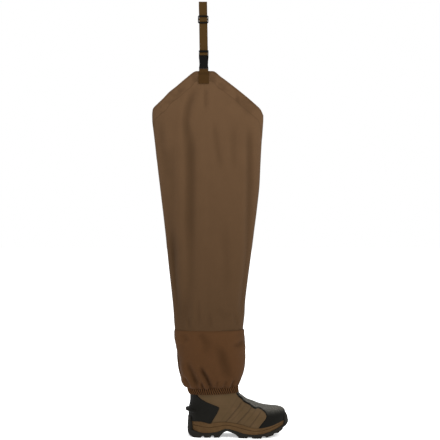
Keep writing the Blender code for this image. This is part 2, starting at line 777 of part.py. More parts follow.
def make_heel_counter():
    rings = boot_rings()[:-COLLAR_ROWS]
    back = BOOT[SPUR_ROW].back * SOLE_LENGTH

    def reach(row, column):
        away = (rings[row][column].x - back) / SPUR_REACH
        lip = SPUR * max(0.0, 1 - away) if row == SPUR_ROW else 0.0
        return GAP + OVERLAY + lip

    counter = shell("heel_counter", seated(offset_rows(rings, reach)), seated(offset_rows(rings, GAP)))
    edge = [
        (-0.10, 0.78), (0.060, 0.78), (0.095, 0.665), (0.116, 0.628), (0.143, 0.595), (0.192, 0.552),
        (0.260, 0.508), (0.298, 0.484), (0.314, 0.470), (0.316, 0.447), (0.294, 0.371),
        (0.260, 0.284), (0.236, 0.218), (0.215, 0.170), (-0.10, 0.170),
    ]
    combine(counter, prism("counter_edge", side_view(edge), -BALL_WIDTH, BALL_WIDTH), "INTERSECT")
    paint(settled(counter), "1D1B18", 0.6)


def fold_depth(across, height):
    """How far the outer side's troughs press in at this place."""
    total = 0.0
    for fold in FOLDS:
        run = (height - fold.bottom) / (fold.top - fold.bottom)
        if not 0 < run < 1:
            continue
        line = fold.bottom_across * (1 - run) + fold.top_across * run
        off = (across - line) / fold.width
        fade = min(1.0, 5 * run, 5 * (1 - run))
        total += THIGH_DEPTH * fold.depth * fade * math.exp(-off * off)
    return total


def leg_point(rows, height, across, side, folded=True):
    """A point of the leg's outer surface; height is a share of LEG_HEIGHT."""
    back = THIGH_WIDTH * smooth(rows, "height", "back", height)
    front = THIGH_WIDTH * smooth(rows, "height", "front", height)
    depth = THIGH_DEPTH * smooth(rows, "height", "depth", height) / 2
    tilt = smooth(rows, "height", "tilt", height)
    bulge = max(0.0, 1 - abs(across) ** OVAL_POWER) ** (1 / OVAL_POWER)
    y = side * depth * bulge
    if side < 0 and folded:
        y += fold_depth(across, height) * bulge
    x = (back + front) / 2 + across * (front - back) / 2
    return Vector((x, y, LEG_HEIGHT * height + tilt * across))


def leg_columns():
    return [(across, -1) for across in OUTER_ACROSS] + [(across, 1) for across in INNER_ACROSS]


def shaft_rings():
    rings = []
    for height in SHAFT_ROWS + SHAFT_HIGH_ROWS:
        rings.append([leg_point(SHAFT, height, across, side) for across, side in leg_columns()])
    start = RIM_START / LEG_HEIGHT
    for step in RIM_STEPS:
        ring = []
        for across, side in leg_columns():
            rim = straight(OUTER_RIM if side < 0 else INNER_RIM, "across", "height", across)
            ring.append(leg_point(SHAFT, start + (rim - start) * step, across, side))
        rings.append(ring)
    return rings


def make_shaft():
    outer = shaft_rings()
    inner = offset_rows(outer, -SHAFT_WALL)
    kept = [ring for r, ring in enumerate(inner) if r % 2 == 0 or r >= len(SHAFT_ROWS)]
    paint(shell("shaft", outer, kept), "634B35", 0.85)


def make_gaiter():
    rings = []
    for row in GAITER:
        rings.append([leg_point(GAITER, row.height, across, side, False) for across, side in leg_columns()])
    inner = offset_rows(rings, -GAITER_WALL)
    kept = [ring for r, ring in enumerate(inner) if r % 2 == 0 or r == len(inner) - 1]
    paint(shell("gaiter", rings, kept), "553A24", 0.85)


def make_hem():
    rings = [boot_ring(HEM_FROM + (HEM_TO - HEM_FROM) * i / HEM_STEPS) for i in range(HEM_STEPS + 1)]

    def underside(row, column):
        along = rings[row][column].x / HEM_FLARE_REACH
        flare = HEM_FLARE * max(0.0, 1 - along) + HEM_FRONT_FLARE * min(1.0, max(0.0, along - 1))
        return GAP + OVERLAY + 2 * GAP + flare * (row / HEM_STEPS) ** 1.5

    def face(row, column):
        return underside(row, column) + HEM_WALL * (0.75 + 0.35 * math.sin(math.pi * row / HEM_STEPS))

    outer = offset_rows(rings, face)
    inner = offset_rows(rings, underside)
    paint(shell("gaiter_hem", outer, inner[::2]), "49301A", 0.85)


def strap_x(height):
    """Middle of the strap at this height: it leans back a little towards the top."""
    return BUCKLE_X + STRAP_LEAN * max(0.0, height - LADDER_HEIGHT - STRAP_WIDTH)


def ribbon(name, path, widths):
    """Flat webbing along a path of (y, z) points, with a width at each point."""
    centres = [Vector((0, y, z)) for y, z in path]
    points = []
    for i, centre in enumerate(centres):
        before, after = centres[max(0, i - 1)], centres[min(len(centres) - 1, i + 1)]
        first = (centre - before).normalized() if i else (after - centre).normalized()
        second = (after - centre).normalized() if i < len(centres) - 1 else first
        way = (first + second).normalized()
        normal = Vector((0, -way.z, way.y)) * (STRAP_THICKNESS / 2 / max(0.7, way.dot(first)))
        middle = strap_x(centre.z)
        for side, face in ((-1, 1), (1, 1), (1, -1), (-1, -1)):
            across = Vector((middle + side * widths[i] / 2, 0, 0))
            points.append(centre + across + normal * face)
    faces = tube_faces(len(path), 4)
    last = 4 * (len(path) - 1)
    faces += [(0, 1, 2, 3), (last, last + 1, last + 2, last + 3)]
    return solid(name, points, faces, 50)


def arc(centre, radius, start, end, steps):
    """Path points on an arc; angles in degrees, 0 towards +y and 90 up."""
    points = []
    for i in range(steps + 1):
        angle = math.radians(start + (end - start) * i / steps)
        points.append((centre[0] + radius * math.cos(angle), centre[1] + radius * math.sin(angle)))
    return points


def peak_face(height):
    """Sideways place of the shaft's outer surface below the buckle."""
    across = (BUCKLE_X - THIGH_WIDTH * (SHAFT[-1].back + SHAFT[-1].front) / 2) / (THIGH_WIDTH / 2)
    return leg_point(SHAFT, height / LEG_HEIGHT, across, -1, False).y


def strap_plane():
    return peak_face(LEG_HEIGHT) - STRAP_STAND_OFF


def make_strap_tab():
    half = STRAP_THICKNESS / 2
    under = GAP + half + GAP
    over = under + STRAP_THICKNESS + GAP
    turn = BAR_CLEARANCE * BAR_RADIUS + GAP + half
    bottom = LEG_HEIGHT - TAB_LENGTH
    bend = LEG_HEIGHT - TAB_BEND
    shoulder = LEG_HEIGHT - TAB_SHOULDER
    path = [(peak_face(z) - under, z) for z in (bottom + TAB_LAYER_STEP, bend, shoulder)]
    path += arc((strap_plane(), BAR_HEIGHT), turn, 0, 180, 8)
    path += [(peak_face(z) - over, z) for z in (shoulder, bend, bottom)]
    widths = [TAB_WIDTH] * 3 + [TAB_LOOP_WIDTH] * 9 + [TAB_WIDTH] * 3
    paint(ribbon("strap_tab", path, widths), "4B351E", 0.85)


def make_buckle_female():
    y = strap_plane()
    outline_xz = [(BUCKLE_X - row.half, BAR_HEIGHT + row.rise) for row in SOCKET]
    outline_xz += [(BUCKLE_X + row.half, BAR_HEIGHT + row.rise) for row in reversed(SOCKET)]
    body = prism("buckle_female", outline_xz, y - BUCKLE_HALF_DEPTH, y + BUCKLE_HALF_DEPTH)
    foot = SOCKET[0]
    frame = box(
        "buckle_frame",
        Vector((BUCKLE_X - foot.half, y - BAR_RADIUS, BAR_HEIGHT - BAR_RADIUS)),
        Vector((BUCKLE_X + foot.half, y + BAR_RADIUS, BAR_HEIGHT + foot.rise + BAR_RADIUS)),
    )
    combine(body, frame, "UNION")
    open_up(body, SOCKET_CUTS, BUCKLE_X, BAR_HEIGHT)
    paint(settled(body), "171410", 0.4)


def make_buckle_male():
    y = strap_plane()
    outline_xz = [(BUCKLE_X + row.half, BAR_HEIGHT + row.rise) for row in PLUG]
    outline_xz += [(BUCKLE_X - row.half, BAR_HEIGHT + row.rise) for row in reversed(PLUG)]
    body = prism("buckle_male", outline_xz, y - PLUG_HALF_DEPTH, y + PLUG_HALF_DEPTH)
    open_up(body, LADDER_CUTS, BUCKLE_X, LADDER_HEIGHT)
    paint(settled(body), "171410", 0.4)


def make_triglide():
    y = strap_plane()
    middle = strap_x(TRIGLIDE_HEIGHT)
    straight_x = TRIGLIDE_HALF_WIDTH - TRIGLIDE_CORNER
    straight_z = TRIGLIDE_HALF_HEIGHT - TRIGLIDE_CORNER
    outline_xz = []
    for side_x, side_z, start in ((1, 1, 0), (-1, 1, 90), (-1, -1, 180), (1, -1, 270)):
        corner = (middle + side_x * straight_x, TRIGLIDE_HEIGHT + side_z * straight_z)
        outline_xz += arc(corner, TRIGLIDE_CORNER, start, start + 90, 3)
    frame = prism("triglide", outline_xz, y - TRIGLIDE_FRONT, y + TRIGLIDE_BACK)
    open_up(frame, TRIGLIDE_CUTS, middle, TRIGLIDE_HEIGHT)
    paint(settled(frame), "1B1813", 0.4)


def make_belt_strap():
    y = strap_plane()
    levels = {"ladder": LADDER_HEIGHT, "triglide": TRIGLIDE_HEIGHT, "loop": LOOP_TOP}
    path = [(y + row.across + row.deep * LOOP_DEPTH, levels[row.level] + row.rise) for row in STRAP_PATH]
    paint(ribbon("belt_strap", path, [STRAP_WIDTH] * len(path)), "4D3922", 0.85)


for old in list(bpy.data.objects):
    bpy.data.objects.remove(old, do_unlink=True)

make_outsole()
make_midsole()
make_insole()
make_boot_upper()
make_toe_cap()
make_heel_counter()
make_shaft()
make_gaiter()
make_hem()
make_strap_tab()
make_buckle_female()
make_buckle_male()
make_triglide()
make_belt_strap()
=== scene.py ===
import bpy
import bmesh
import math
from collections import namedtuple
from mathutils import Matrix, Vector, noise


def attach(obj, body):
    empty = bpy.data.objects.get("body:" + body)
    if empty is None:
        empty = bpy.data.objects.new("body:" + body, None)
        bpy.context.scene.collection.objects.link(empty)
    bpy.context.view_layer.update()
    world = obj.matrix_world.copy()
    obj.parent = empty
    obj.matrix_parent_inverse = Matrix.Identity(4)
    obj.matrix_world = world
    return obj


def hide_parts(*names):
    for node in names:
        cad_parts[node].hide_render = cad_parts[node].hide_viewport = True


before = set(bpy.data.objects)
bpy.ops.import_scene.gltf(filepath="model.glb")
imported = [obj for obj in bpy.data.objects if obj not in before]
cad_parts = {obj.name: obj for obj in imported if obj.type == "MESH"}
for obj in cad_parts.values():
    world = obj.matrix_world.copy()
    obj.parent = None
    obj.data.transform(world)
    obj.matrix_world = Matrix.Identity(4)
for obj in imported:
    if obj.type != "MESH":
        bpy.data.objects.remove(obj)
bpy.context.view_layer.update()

# Sizes
# Real sizes in metres. Forms are worked out from the back of the heel and then moved back by HEEL_REST.
SOLE_LENGTH = 0.303
BALL_WIDTH = 0.108
SOLE_HEIGHT = 0.050
HEEL_REST = 0.0606
HEEL_ROUND = 0.036
COLLAR_HEIGHT = 0.190
FEATHER = 0.0035
BOOT_WALL = 0.003
OVERLAY = 0.0028
SPUR = 0.0082
SPUR_REACH = 0.018
SPUR_ROW = 4
BACKSTAY = 0.0147
SEAM = 0.0004

LEG_HEIGHT = 1.0856
THIGH_WIDTH = 0.333
THIGH_DEPTH = 0.096
OVAL_POWER = 2.2
SHAFT_WALL = 0.0018
RIM_START = 0.880
FACING = 0.030

Plan = namedtuple("Plan", "along centre outer inner")
Line = namedtuple("Line", "along top")
Boot = namedtuple("Boot", "row back back_height front front_height sag foot spread oval nose power")
Leg = namedtuple("Leg", "height back front depth tilt")
Rim = namedtuple("Rim", "across height")

# The sole from above, in shares of SOLE_LENGTH and BALL_WIDTH: its middle, and its half widths to each side
PLAN = [
    Plan(0.00, 0.000, 0.360, 0.360),
    Plan(0.15, 0.000, 0.370, 0.360),
    Plan(0.30, 0.000, 0.365, 0.335),
    Plan(0.45, 0.000, 0.400, 0.300),
    Plan(0.55, -0.010, 0.440, 0.330),
    Plan(0.65, -0.010, 0.485, 0.415),
    Plan(0.73, 0.000, 0.500, 0.460),
    Plan(0.82, 0.020, 0.500, 0.470),
    Plan(0.92, 0.050, 0.490, 0.470),
    Plan(1.00, 0.075, 0.480, 0.470),
]
# The sole's top edge along it, in shares of SOLE_LENGTH and SOLE_HEIGHT
LINES = [
    Line(0.000, 0.94),
    Line(0.106, 0.98),
    Line(0.158, 0.92),
    Line(0.221, 0.82),
    Line(0.294, 0.90),
    Line(0.373, 0.92),
    Line(0.416, 0.90),
    Line(0.479, 0.85),
    Line(0.551, 0.77),
    Line(0.604, 0.66),
    Line(0.663, 0.58),
    Line(0.739, 0.62),
    Line(0.812, 0.73),
    Line(0.884, 0.86),
    Line(0.941, 0.96),
    Line(1.000, 1.02),
]
# The boot's upper as a fan of rows from the sole to the collar: the places and heights of back and front, in
# shares of SOLE_LENGTH and COLLAR_HEIGHT; how far a row follows the sole's top edge, has the foot's plan
# rather than the ankle's oval, and spreads over the sole; its half width, and its nose's length and power
BOOT = [
    Boot(0, 0.031, 0.247, 0.964, 0.263, 1.00, 1.00, 1.000, 0.37, 0.27, 2.0),
    Boot(1, 0.026, 0.295, 0.968, 0.316, 0.85, 1.00, 0.995, 0.37, 0.27, 2.0),
    Boot(2, 0.020, 0.347, 0.962, 0.368, 0.65, 1.00, 0.975, 0.37, 0.28, 2.0),
    Boot(3, 0.018, 0.389, 0.944, 0.413, 0.45, 0.98, 0.945, 0.37, 0.30, 1.9),
    Boot(4, 0.018, 0.420, 0.901, 0.446, 0.30, 0.92, 0.925, 0.37, 0.34, 1.7),
    Boot(5, 0.023, 0.458, 0.832, 0.463, 0.20, 0.84, 0.915, 0.37, 0.37, 1.6),
    Boot(6, 0.028, 0.489, 0.749, 0.479, 0.10, 0.75, 0.910, 0.37, 0.38, 1.6),
    Boot(7, 0.032, 0.521, 0.673, 0.505, 0.00, 0.65, 0.910, 0.37, 0.36, 1.6),
    Boot(8, 0.035, 0.553, 0.614, 0.542, 0.00, 0.50, 0.910, 0.37, 0.33, 1.7),
    Boot(9, 0.036, 0.584, 0.561, 0.582, 0.00, 0.35, 0.910, 0.37, 0.29, 1.8),
    Boot(10, 0.036, 0.621, 0.512, 0.639, 0.00, 0.18, 0.910, 0.375, 0.25, 1.9),
    Boot(11, 0.035, 0.674, 0.487, 0.705, 0.00, 0.05, 0.910, 0.385, 0.23, 2.0),
    Boot(12, 0.033, 0.737, 0.472, 0.768, 0.00, 0.00, 0.910, 0.40, 0.22, 2.0),
    Boot(13, 0.030, 0.816, 0.460, 0.842, 0.00, 0.00, 0.910, 0.42, 0.215, 2.0),
    Boot(14, 0.026, 0.905, 0.455, 0.916, 0.00, 0.00, 0.910, 0.435, 0.2145, 2.0),
    Boot(15, 0.026, 1.000, 0.455, 1.000, 0.00, 0.00, 0.910, 0.44, 0.2145, 2.0),
]
# Sections of the leg in the boot and above it, in shares of LEG_HEIGHT, THIGH_WIDTH and THIGH_DEPTH
SHAFT = [
    Leg(0.155, 0.0155, 0.4250, 1.030, 0.0),
    Leg(0.180, 0.0100, 0.4300, 1.050, 0.0),
    Leg(0.205, -0.030, 0.452, 1.09, 0.0),
    Leg(0.240, -0.075, 0.480, 1.13, 0.0),
    Leg(0.272, -0.103, 0.497, 1.17, 0.0),
    Leg(0.304, -0.117, 0.508, 1.19, 0.0),
    Leg(0.334, -0.124, 0.519, 1.19, 0.0),
    Leg(0.367, -0.134, 0.525, 1.18, 0.0),
    Leg(0.417, -0.150, 0.542, 1.17, 0.0),
    Leg(0.467, -0.168, 0.561, 1.16, 0.0),
    Leg(0.517, -0.186, 0.582, 1.15, 0.0),
    Leg(0.567, -0.203, 0.603, 1.13, 0.0),
    Leg(0.616, -0.220, 0.625, 1.11, 0.0),
    Leg(0.683, -0.245, 0.649, 1.08, 0.0),
    Leg(0.732, -0.264, 0.656, 1.06, 0.0),
    Leg(0.782, -0.283, 0.663, 1.04, 0.0),
    Leg(0.832, -0.303, 0.672, 1.02, 0.0),
    Leg(0.865, -0.317, 0.680, 1.00, 0.0),
    Leg(0.890, -0.319, 0.682, 0.99, 0.0),
    Leg(0.940, -0.318, 0.682, 0.94, 0.0),
    Leg(1.000, -0.318, 0.682, 0.87, 0.0),
]
# Sections of the gaiter in the same shares; its lowest ones rise by the tilt, in metres, towards the front
GAITER = [
    Leg(0.1346, 0.0000, 0.4520, 1.00, 0.0028),
    Leg(0.1358, -0.0070, 0.4580, 1.03, 0.0028),
    Leg(0.1385, -0.017, 0.4640, 1.10, 0.0028),
    Leg(0.1435, -0.031, 0.4710, 1.19, 0.0026),
    Leg(0.1520, -0.048, 0.482, 1.24, 0.0020),
    Leg(0.1690, -0.065, 0.501, 1.30, 0.0010),
    Leg(0.1850, -0.077, 0.511, 1.33, 0.0),
    Leg(0.2020, -0.086, 0.518, 1.345, 0.0),
    Leg(0.2180, -0.093, 0.522, 1.345, 0.0),
    Leg(0.2350, -0.096, 0.522, 1.335, 0.0),
    Leg(0.2510, -0.106, 0.523, 1.315, 0.0),
    Leg(0.2700, -0.117, 0.518, 1.28, 0.0),
    Leg(0.2925, -0.1195, 0.5135, 1.235, 0.0),
]
# The leg's top edge, outer side first: from -1 at the back to 1 at the front, in shares of LEG_HEIGHT
OUTER_RIM = [
    Rim(-1.00, 0.886),
    Rim(-0.985, 0.899),
    Rim(-0.90, 0.912),
    Rim(-0.79, 0.927),
    Rim(-0.68, 0.944),
    Rim(-0.554, 0.959),
    Rim(-0.427, 0.9755),
    Rim(-0.339, 0.9865),
    Rim(-0.25, 0.9972),
    Rim(-0.20, 1.0000),
    Rim(0.10, 1.0000),
    Rim(0.145, 0.9972),
    Rim(0.226, 0.9865),
    Rim(0.324, 0.9755),
    Rim(0.465, 0.959),
    Rim(0.60, 0.943),
    Rim(0.73, 0.927),
    Rim(0.863, 0.9095),
    Rim(0.95, 0.897),
    Rim(1.00, 0.882),
]
INNER_RIM = [
    Rim(-1.0, 0.886),
    Rim(-0.6, 0.862),
    Rim(0.0, 0.846),
    Rim(0.6, 0.860),
    Rim(1.0, 0.882),
]


class Curve:
    """A smooth curve through one column of a table."""

    def __init__(self, rows, key, column):
        self.at = [getattr(row, key) for row in rows]
        self.value = [getattr(row, column) for row in rows]
        last = len(rows) - 1
        self.slope = []
        for i in range(last + 1):
            low, high = max(0, i - 1), min(last, i + 1)
            self.slope.append((self.value[high] - self.value[low]) / (self.at[high] - self.at[low]))

    def __call__(self, at):
        at = min(self.at[-1], max(self.at[0], at))
        i = 0
        while at > self.at[i + 1]:
            i += 1
        step = self.at[i + 1] - self.at[i]
        t = (at - self.at[i]) / step
        behind = (2 * t ** 3 - 3 * t ** 2 + 1) * self.value[i]
        ahead = (3 * t ** 2 - 2 * t ** 3) * self.value[i + 1]
        bend = (t ** 3 - 2 * t ** 2 + t) * self.slope[i] + (t ** 3 - t ** 2) * self.slope[i + 1]
        return behind + ahead + step * bend


def curves(rows, key, kind):
    return {column: Curve(rows, key, column) for column in kind._fields if column != key}


plan = curves(PLAN, "along", Plan)
lines = curves(LINES, "along", Line)
boot = curves(BOOT, "row", Boot)
shaft = curves(SHAFT, "height", Leg)
gaiter = curves(GAITER, "height", Leg)
outer_rim = Curve(OUTER_RIM, "across", "height")
inner_rim = Curve(INNER_RIM, "across", "height")


def rounding(share, power=2.0):
    """Rises from 0 to 1 as a quarter of an oval does."""
    share = min(1.0, max(0.0, share))
    return (1 - (1 - share) ** power) ** (1 / power)


def ease(share):
    """Rises from 0 to 1 with a soft start and end."""
    share = min(1.0, max(0.0, share))
    return share * share * (3 - 2 * share)


def bell(off, width):
    """1 in the middle, falling softly to 0 within about two widths."""
    return math.exp(-(off / width) ** 2)


# Surfaces
def boot_point(row, share, side, values):
    """A point of the boot's outer surface: row along the fan, share from heel to toe."""
    back, front = values["back"] * SOLE_LENGTH, values["front"] * SOLE_LENGTH
    x = back + (front - back) * share
    along = x / SOLE_LENGTH
    top = SOLE_HEIGHT * lines["top"](along) + SEAM
    chord = SOLE_HEIGHT * (LINES[0].top * (1 - along) + LINES[-1].top * along) + SEAM
    z = COLLAR_HEIGHT * (values["back_height"] * (1 - share) + values["front_height"] * share)
    z += values["sag"] * (top - chord)
    if row < 1:
        z = top * (1 - row) + z * row
    foot = values["foot"]
    heel = (front - back) / 2 * (1 - foot) + HEEL_ROUND * foot
    nose = min(front - back, values["nose"] * SOLE_LENGTH)
    ends = rounding((x - back) / heel) * rounding((front - x) / nose, values["power"])
    centre = foot * BALL_WIDTH * plan["centre"](along)
    sole = BALL_WIDTH * plan["outer" if side < 0 else "inner"](along) - FEATHER
    half = BALL_WIDTH * values["oval"] * (1 - foot) + sole * values["spread"] * foot
    return Vector((x, centre + side * half * ends, z))


# How much of the spacing along the foot is even; the rest is closer together at heel and toe
EVEN_SPACING = 0.35


def boot_grid(start, end, rows, per_side):
    """Rings of the boot between two rows of the fan, closely spaced at heel and toe."""
    grid = []
    for r in range(rows + 1):
        row = start + (end - start) * r / rows
        values = {name: curve(row) for name, curve in boot.items()}
        outer, inner = [], []
        for i in range(per_side + 1):
            share = (1 - math.cos(math.pi * i / per_side)) / 2
            share = (1 - EVEN_SPACING) * share + EVEN_SPACING * i / per_side
            outer.append(boot_point(row, share, -1, values))
            inner.append(boot_point(row, share, 1, values))
        grid.append(outer + inner[-2:0:-1])
    return grid


def normals(grid):
    """The outward direction at each point, from its four neighbours."""
    count = len(grid[0])
    found = []
    for r, ring in enumerate(grid):
        below, above = grid[max(0, r - 1)], grid[min(len(grid) - 1, r + 1)]
        line = []
        for c in range(count):
            normal = (ring[(c + 1) % count] - ring[c - 1]).cross(above[c] - below[c])
            line.append(normal.normalized())
        found.append(line)
    return found


def relief_of(grid, height):
    """The height function's value at each point of the grid."""
    return [[height(r, c, point) for c, point in enumerate(ring)] for r, ring in enumerate(grid)]


def pushed(grid, amount, level=False):
    """The grid moved along its normals by a number or a table of numbers; level keeps its end rings level."""
    ways = normals(grid)
    moved = []
    for r, ring in enumerate(grid):
        line = []
        for c, point in enumerate(ring):
            way = ways[r][c]
            if level and r in (0, len(grid) - 1):
                way = Vector((way.x, way.y, 0)).normalized()
            reach = amount if isinstance(amount, float) else amount[r][c]
            line.append(point + way * reach)
        moved.append(line)
    return moved


def write_on(obj, name, rows):
    """Writes one number to each point of the outer surface, for a material to read."""
    written = obj.data.attributes.new(name, "FLOAT", "POINT")
    for number, value in enumerate(value for row in rows for value in row):
        written.data[number].value = value


def keep_dips_for_shade(obj, reliefs):
    """Writes how far each point lies below the plain surface, for the material to darken with painted shade.
    """
    write_on(obj, "dip", [[max(0.0, -height) for height in row] for row in reliefs])


# Edges sharper than this many degrees stay sharp
CREASE = 35
OVERLAY_CREASE = 60


def mesh_object(name, points, faces, crease=CREASE):
    mesh = bpy.data.meshes.new(name)
    shift = Vector((-HEEL_REST, 0, 0))
    mesh.from_pydata([tuple(point + shift) for point in points], [], faces)
    for face in mesh.polygons:
        face.use_smooth = True
    mesh.set_sharp_from_angle(angle=math.radians(crease))
    obj = bpy.data.objects.new(name, mesh)
    bpy.context.scene.collection.objects.link(obj)
    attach(obj, "root")
    return obj


def ring_faces(rows, count):
    """Four-sided faces between rings of count points that follow one another."""
    faces = []
    for r in range(rows - 1):
        for c in range(count):
            right = (c + 1) % count
            low, high = r * count, (r + 1) * count
            faces.append((low + c, low + right, high + right, high + c))
    return faces


def hollow(name, outer, inner):
    """A wall between two stacks of rings of the same count."""
    count = len(outer[0])
    rings = outer + inner[::-1]
    points = [point for ring in rings for point in ring]
    faces = ring_faces(len(rings), count)
    last = (len(rings) - 1) * count
    faces += [(last + c, last + (c + 1) % count, (c + 1) % count, c) for c in range(count)]
    return mesh_object(name, points, faces)


def line_inside(obj, outer_rows, count, inside):
    """The faces after the outer surface's own take the lining's material."""
    obj.data.materials.append(inside)
    border = (outer_rows - 1) * count
    for face in obj.data.polygons:
        if face.index >= border:
            face.material_index = 1


# Materials
# Sizes of the patterns in metres. Threads are drawn two to three times as coarse as real ones,
# and pimples a little coarser, so that they show at all in the render.
BLOTCH = 0.04545
FACING_BLOTCH = 0.03846
FUZZ = 0.00238
LEG_THREAD = 0.0011
GAITER_THREAD = 0.0016
HEM_THREAD = 0.0014
STRAP_RIB = 0.00303
STRAP_CROSS = 0.00199
RUBBER_GRAIN = 0.00111
BUCKLE_GRAIN = 0.00067
PIMPLE = 0.0030
WEAVE_RELIEF = 0.0004
RUBBER_RELIEF = 0.0002
# Depths of a dip at which its painted shade is darkest
LEG_FULL_SHADE = 0.010
GAITER_FULL_SHADE = 0.009
HEM_FULL_SHADE = 0.0018
RUBBER_FULL_SHADE = 0.0015
# Stitch lines of the facing: distance below the top edge and strength
STITCHES = ((FACING, 0.42), (0.004, 0.40))
FACING_FADE = 0.001
STITCH_HALF = 0.0004
STITCH_FADE = 0.0016
PATCH_STRENGTH = 0.42
# The bar of stitches across the tab: its lower and upper height
TAB_BAR = (1.0748, 1.0815)
TAB_BAR_STRENGTH = 0.6
BAR_EDGE = 0.0005
# Pimples and the painted light on the toe's top: the height where they start and where all are there, how
# much of the painted highlight the pimples take, and their bump in heights of the grain
PIMPLES_START = 0.064
PIMPLES_FULL = 0.086
PIMPLE_STRENGTH = 0.8
PIMPLE_HEIGHT = 4.0
# Roughness and specular level: cloth and webbing hardly shine, and rubber a little more
CLOTH_FINISH = (0.95, 0.04)
WEBBING_FINISH = (0.9, 0.04)
RUBBER_SPECULAR = 0.06
SHEEN = 0.02
SHEEN_ROUGHNESS = 0.5
# How much of the dark colour, the same as the folds' painted shade, the mottle of a cloth takes
MOTTLE = 0.10


def linear(hex_colour):
    """An sRGB hex colour as linear light."""
    channels = []
    for start in (0, 2, 4):
        value = int(hex_colour[start:start + 2], 16) / 255
        channels.append(value / 12.92 if value <= 0.04045 else ((value + 0.055) / 1.055) ** 2.4)
    return (*channels, 1.0)


def add(tree, kind, inputs=None, out=0, **settings):
    """Adds a shader node with its settings, and with values or links at its inputs; returns one output."""
    made = tree.nodes.new("ShaderNode" + kind)
    for key, value in settings.items():
        setattr(made, key, value)
    for key, value in (inputs or {}).items():
        if isinstance(value, bpy.types.NodeSocket):
            tree.links.new(value, made.inputs[key])
        else:
            made.inputs[key].default_value = value
    return made.outputs[out]


# Sockets of the colour mix: how much of the second, the first colour, the second colour, and the result
SHARE, FIRST, SECOND, RESULT = 0, 6, 7, 2


def new_material(name, roughness, specular):
    material = bpy.data.materials.new(name)
    material.use_nodes = True
    shader = material.node_tree.nodes["Principled BSDF"]
    shader.inputs["Roughness"].default_value = roughness
    shader.inputs["Specular IOR Level"].default_value = specular
    return material, material.node_tree, shader


def wave_scale(pitch):
    """Scale at which the wave pattern repeats about once a pitch."""
    return 1 / (math.pi * pitch)


def toned(tree, shader, place, base, mottle, dark_tone_and_painted_shade, full_shade_depth):
    """Base colour with a soft mottle, and painted shade that darkens it where the surface dips in."""
    blotches = add(tree, "TexNoise", {"Vector": place, "Scale": 1 / BLOTCH, "Detail": 6.0, "Roughness": 0.6})
    plain = add(tree, "MapRange", {"Value": blotches, "From Min": 0.35, "From Max": 0.65})
    varied = add(tree, "Mix", {SHARE: plain, FIRST: mottle, SECOND: base}, RESULT, data_type="RGBA")
    # Painted shade: the deeper a dip, the more of the dark colour it takes
    dip = add(tree, "Attribute", out="Fac", attribute_name="dip")
    dip_shade = add(tree, "MapRange", {"Value": dip, "From Min": 0.0, "From Max": full_shade_depth})
    colours = {SHARE: dip_shade, FIRST: varied, SECOND: linear(dark_tone_and_painted_shade)}
    colour = add(tree, "Mix", colours, RESULT, data_type="RGBA")
    tree.links.new(colour, shader.inputs["Base Color"])


def facing_tone(tree, place, colour, dark):
    """The facing along the top edge: darker patches where the cloth is double, and two lines of stitches."""
    below = add(tree, "Attribute", out="Fac", attribute_name="below_rim")
    blots = add(tree, "TexNoise", {"Vector": place, "Scale": 1 / FACING_BLOTCH, "Detail": 2.0})
    blotted = add(tree, "MapRange", {"Value": blots, "From Min": 0.46, "From Max": 0.60})
    band = {"Value": below, "From Min": FACING + FACING_FADE, "From Max": FACING - FACING_FADE}
    double = add(tree, "MapRange", band)
    patch = add(tree, "Math", {0: blotted, 1: double}, operation="MULTIPLY")
    held = add(tree, "Math", {0: patch, 1: PATCH_STRENGTH}, operation="MULTIPLY")
    colour = add(tree, "Mix", {SHARE: held, FIRST: colour, SECOND: dark}, RESULT, data_type="RGBA")
    for line, strength in STITCHES:
        off = add(tree, "Math", {0: below, 1: line}, operation="SUBTRACT")
        away = add(tree, "Math", {0: off}, operation="ABSOLUTE")
        near = add(tree, "MapRange", {"Value": away, "From Min": STITCH_FADE, "From Max": STITCH_HALF})
        held = add(tree, "Math", {0: near, 1: strength}, operation="MULTIPLY")
        colour = add(tree, "Mix", {SHARE: held, FIRST: colour, SECOND: dark}, RESULT, data_type="RGBA")
    return colour


def cloth(
    name, low, high, dark_tone_and_painted_shade,
    shade_span=(0.0, 1.0), weave=LEG_THREAD, bump=0.25, full_shade_depth=LEG_FULL_SHADE, facing=False,
):
    """Woven cloth of crossed threads; its tone runs from low to high over a span of heights, a painted shade
    that darkens it lower down, and painted shade darkens its folds.
    """
    material, tree, shader = new_material(name, *CLOTH_FINISH)
    place = add(tree, "TexCoord", out="Object")
    height = add(tree, "SeparateXYZ", {"Vector": place}, "Z")
    # Painted shade: darker lower down and paler higher up, where more light falls
    risen = add(tree, "MapRange", {"Value": height, "From Min": shade_span[0], "From Max": shade_span[1]})
    tones = {SHARE: risen, FIRST: linear(low), SECOND: linear(high)}
    base = add(tree, "Mix", tones, RESULT, data_type="RGBA")
    if facing:
        base = facing_tone(tree, place, base, linear(dark_tone_and_painted_shade))
    tones = {SHARE: MOTTLE, FIRST: base, SECOND: linear(dark_tone_and_painted_shade)}
    darker = add(tree, "Mix", tones, RESULT, data_type="RGBA")
    toned(tree, shader, place, base, darker, dark_tone_and_painted_shade, full_shade_depth)
    threads = {"Vector": place, "Scale": wave_scale(weave), "Distortion": 0.6}
    warp = add(tree, "TexWave", threads, "Fac", bands_direction="X")
    weft = add(tree, "TexWave", threads, "Fac", bands_direction="Z")
    fuzz = add(tree, "TexNoise", {"Vector": place, "Scale": 1 / FUZZ, "Detail": 3.0})
    both = add(tree, "Math", {0: warp, 1: weft}, operation="ADD")
    relief = add(tree, "Math", {0: both, 1: fuzz}, operation="ADD")
    bumps = add(tree, "Bump", {"Strength": bump, "Distance": WEAVE_RELIEF, "Height": relief})
    tree.links.new(bumps, shader.inputs["Normal"])
    shader.inputs["Sheen Weight"].default_value = SHEEN
    shader.inputs["Sheen Roughness"].default_value = SHEEN_ROUGHNESS
    return material


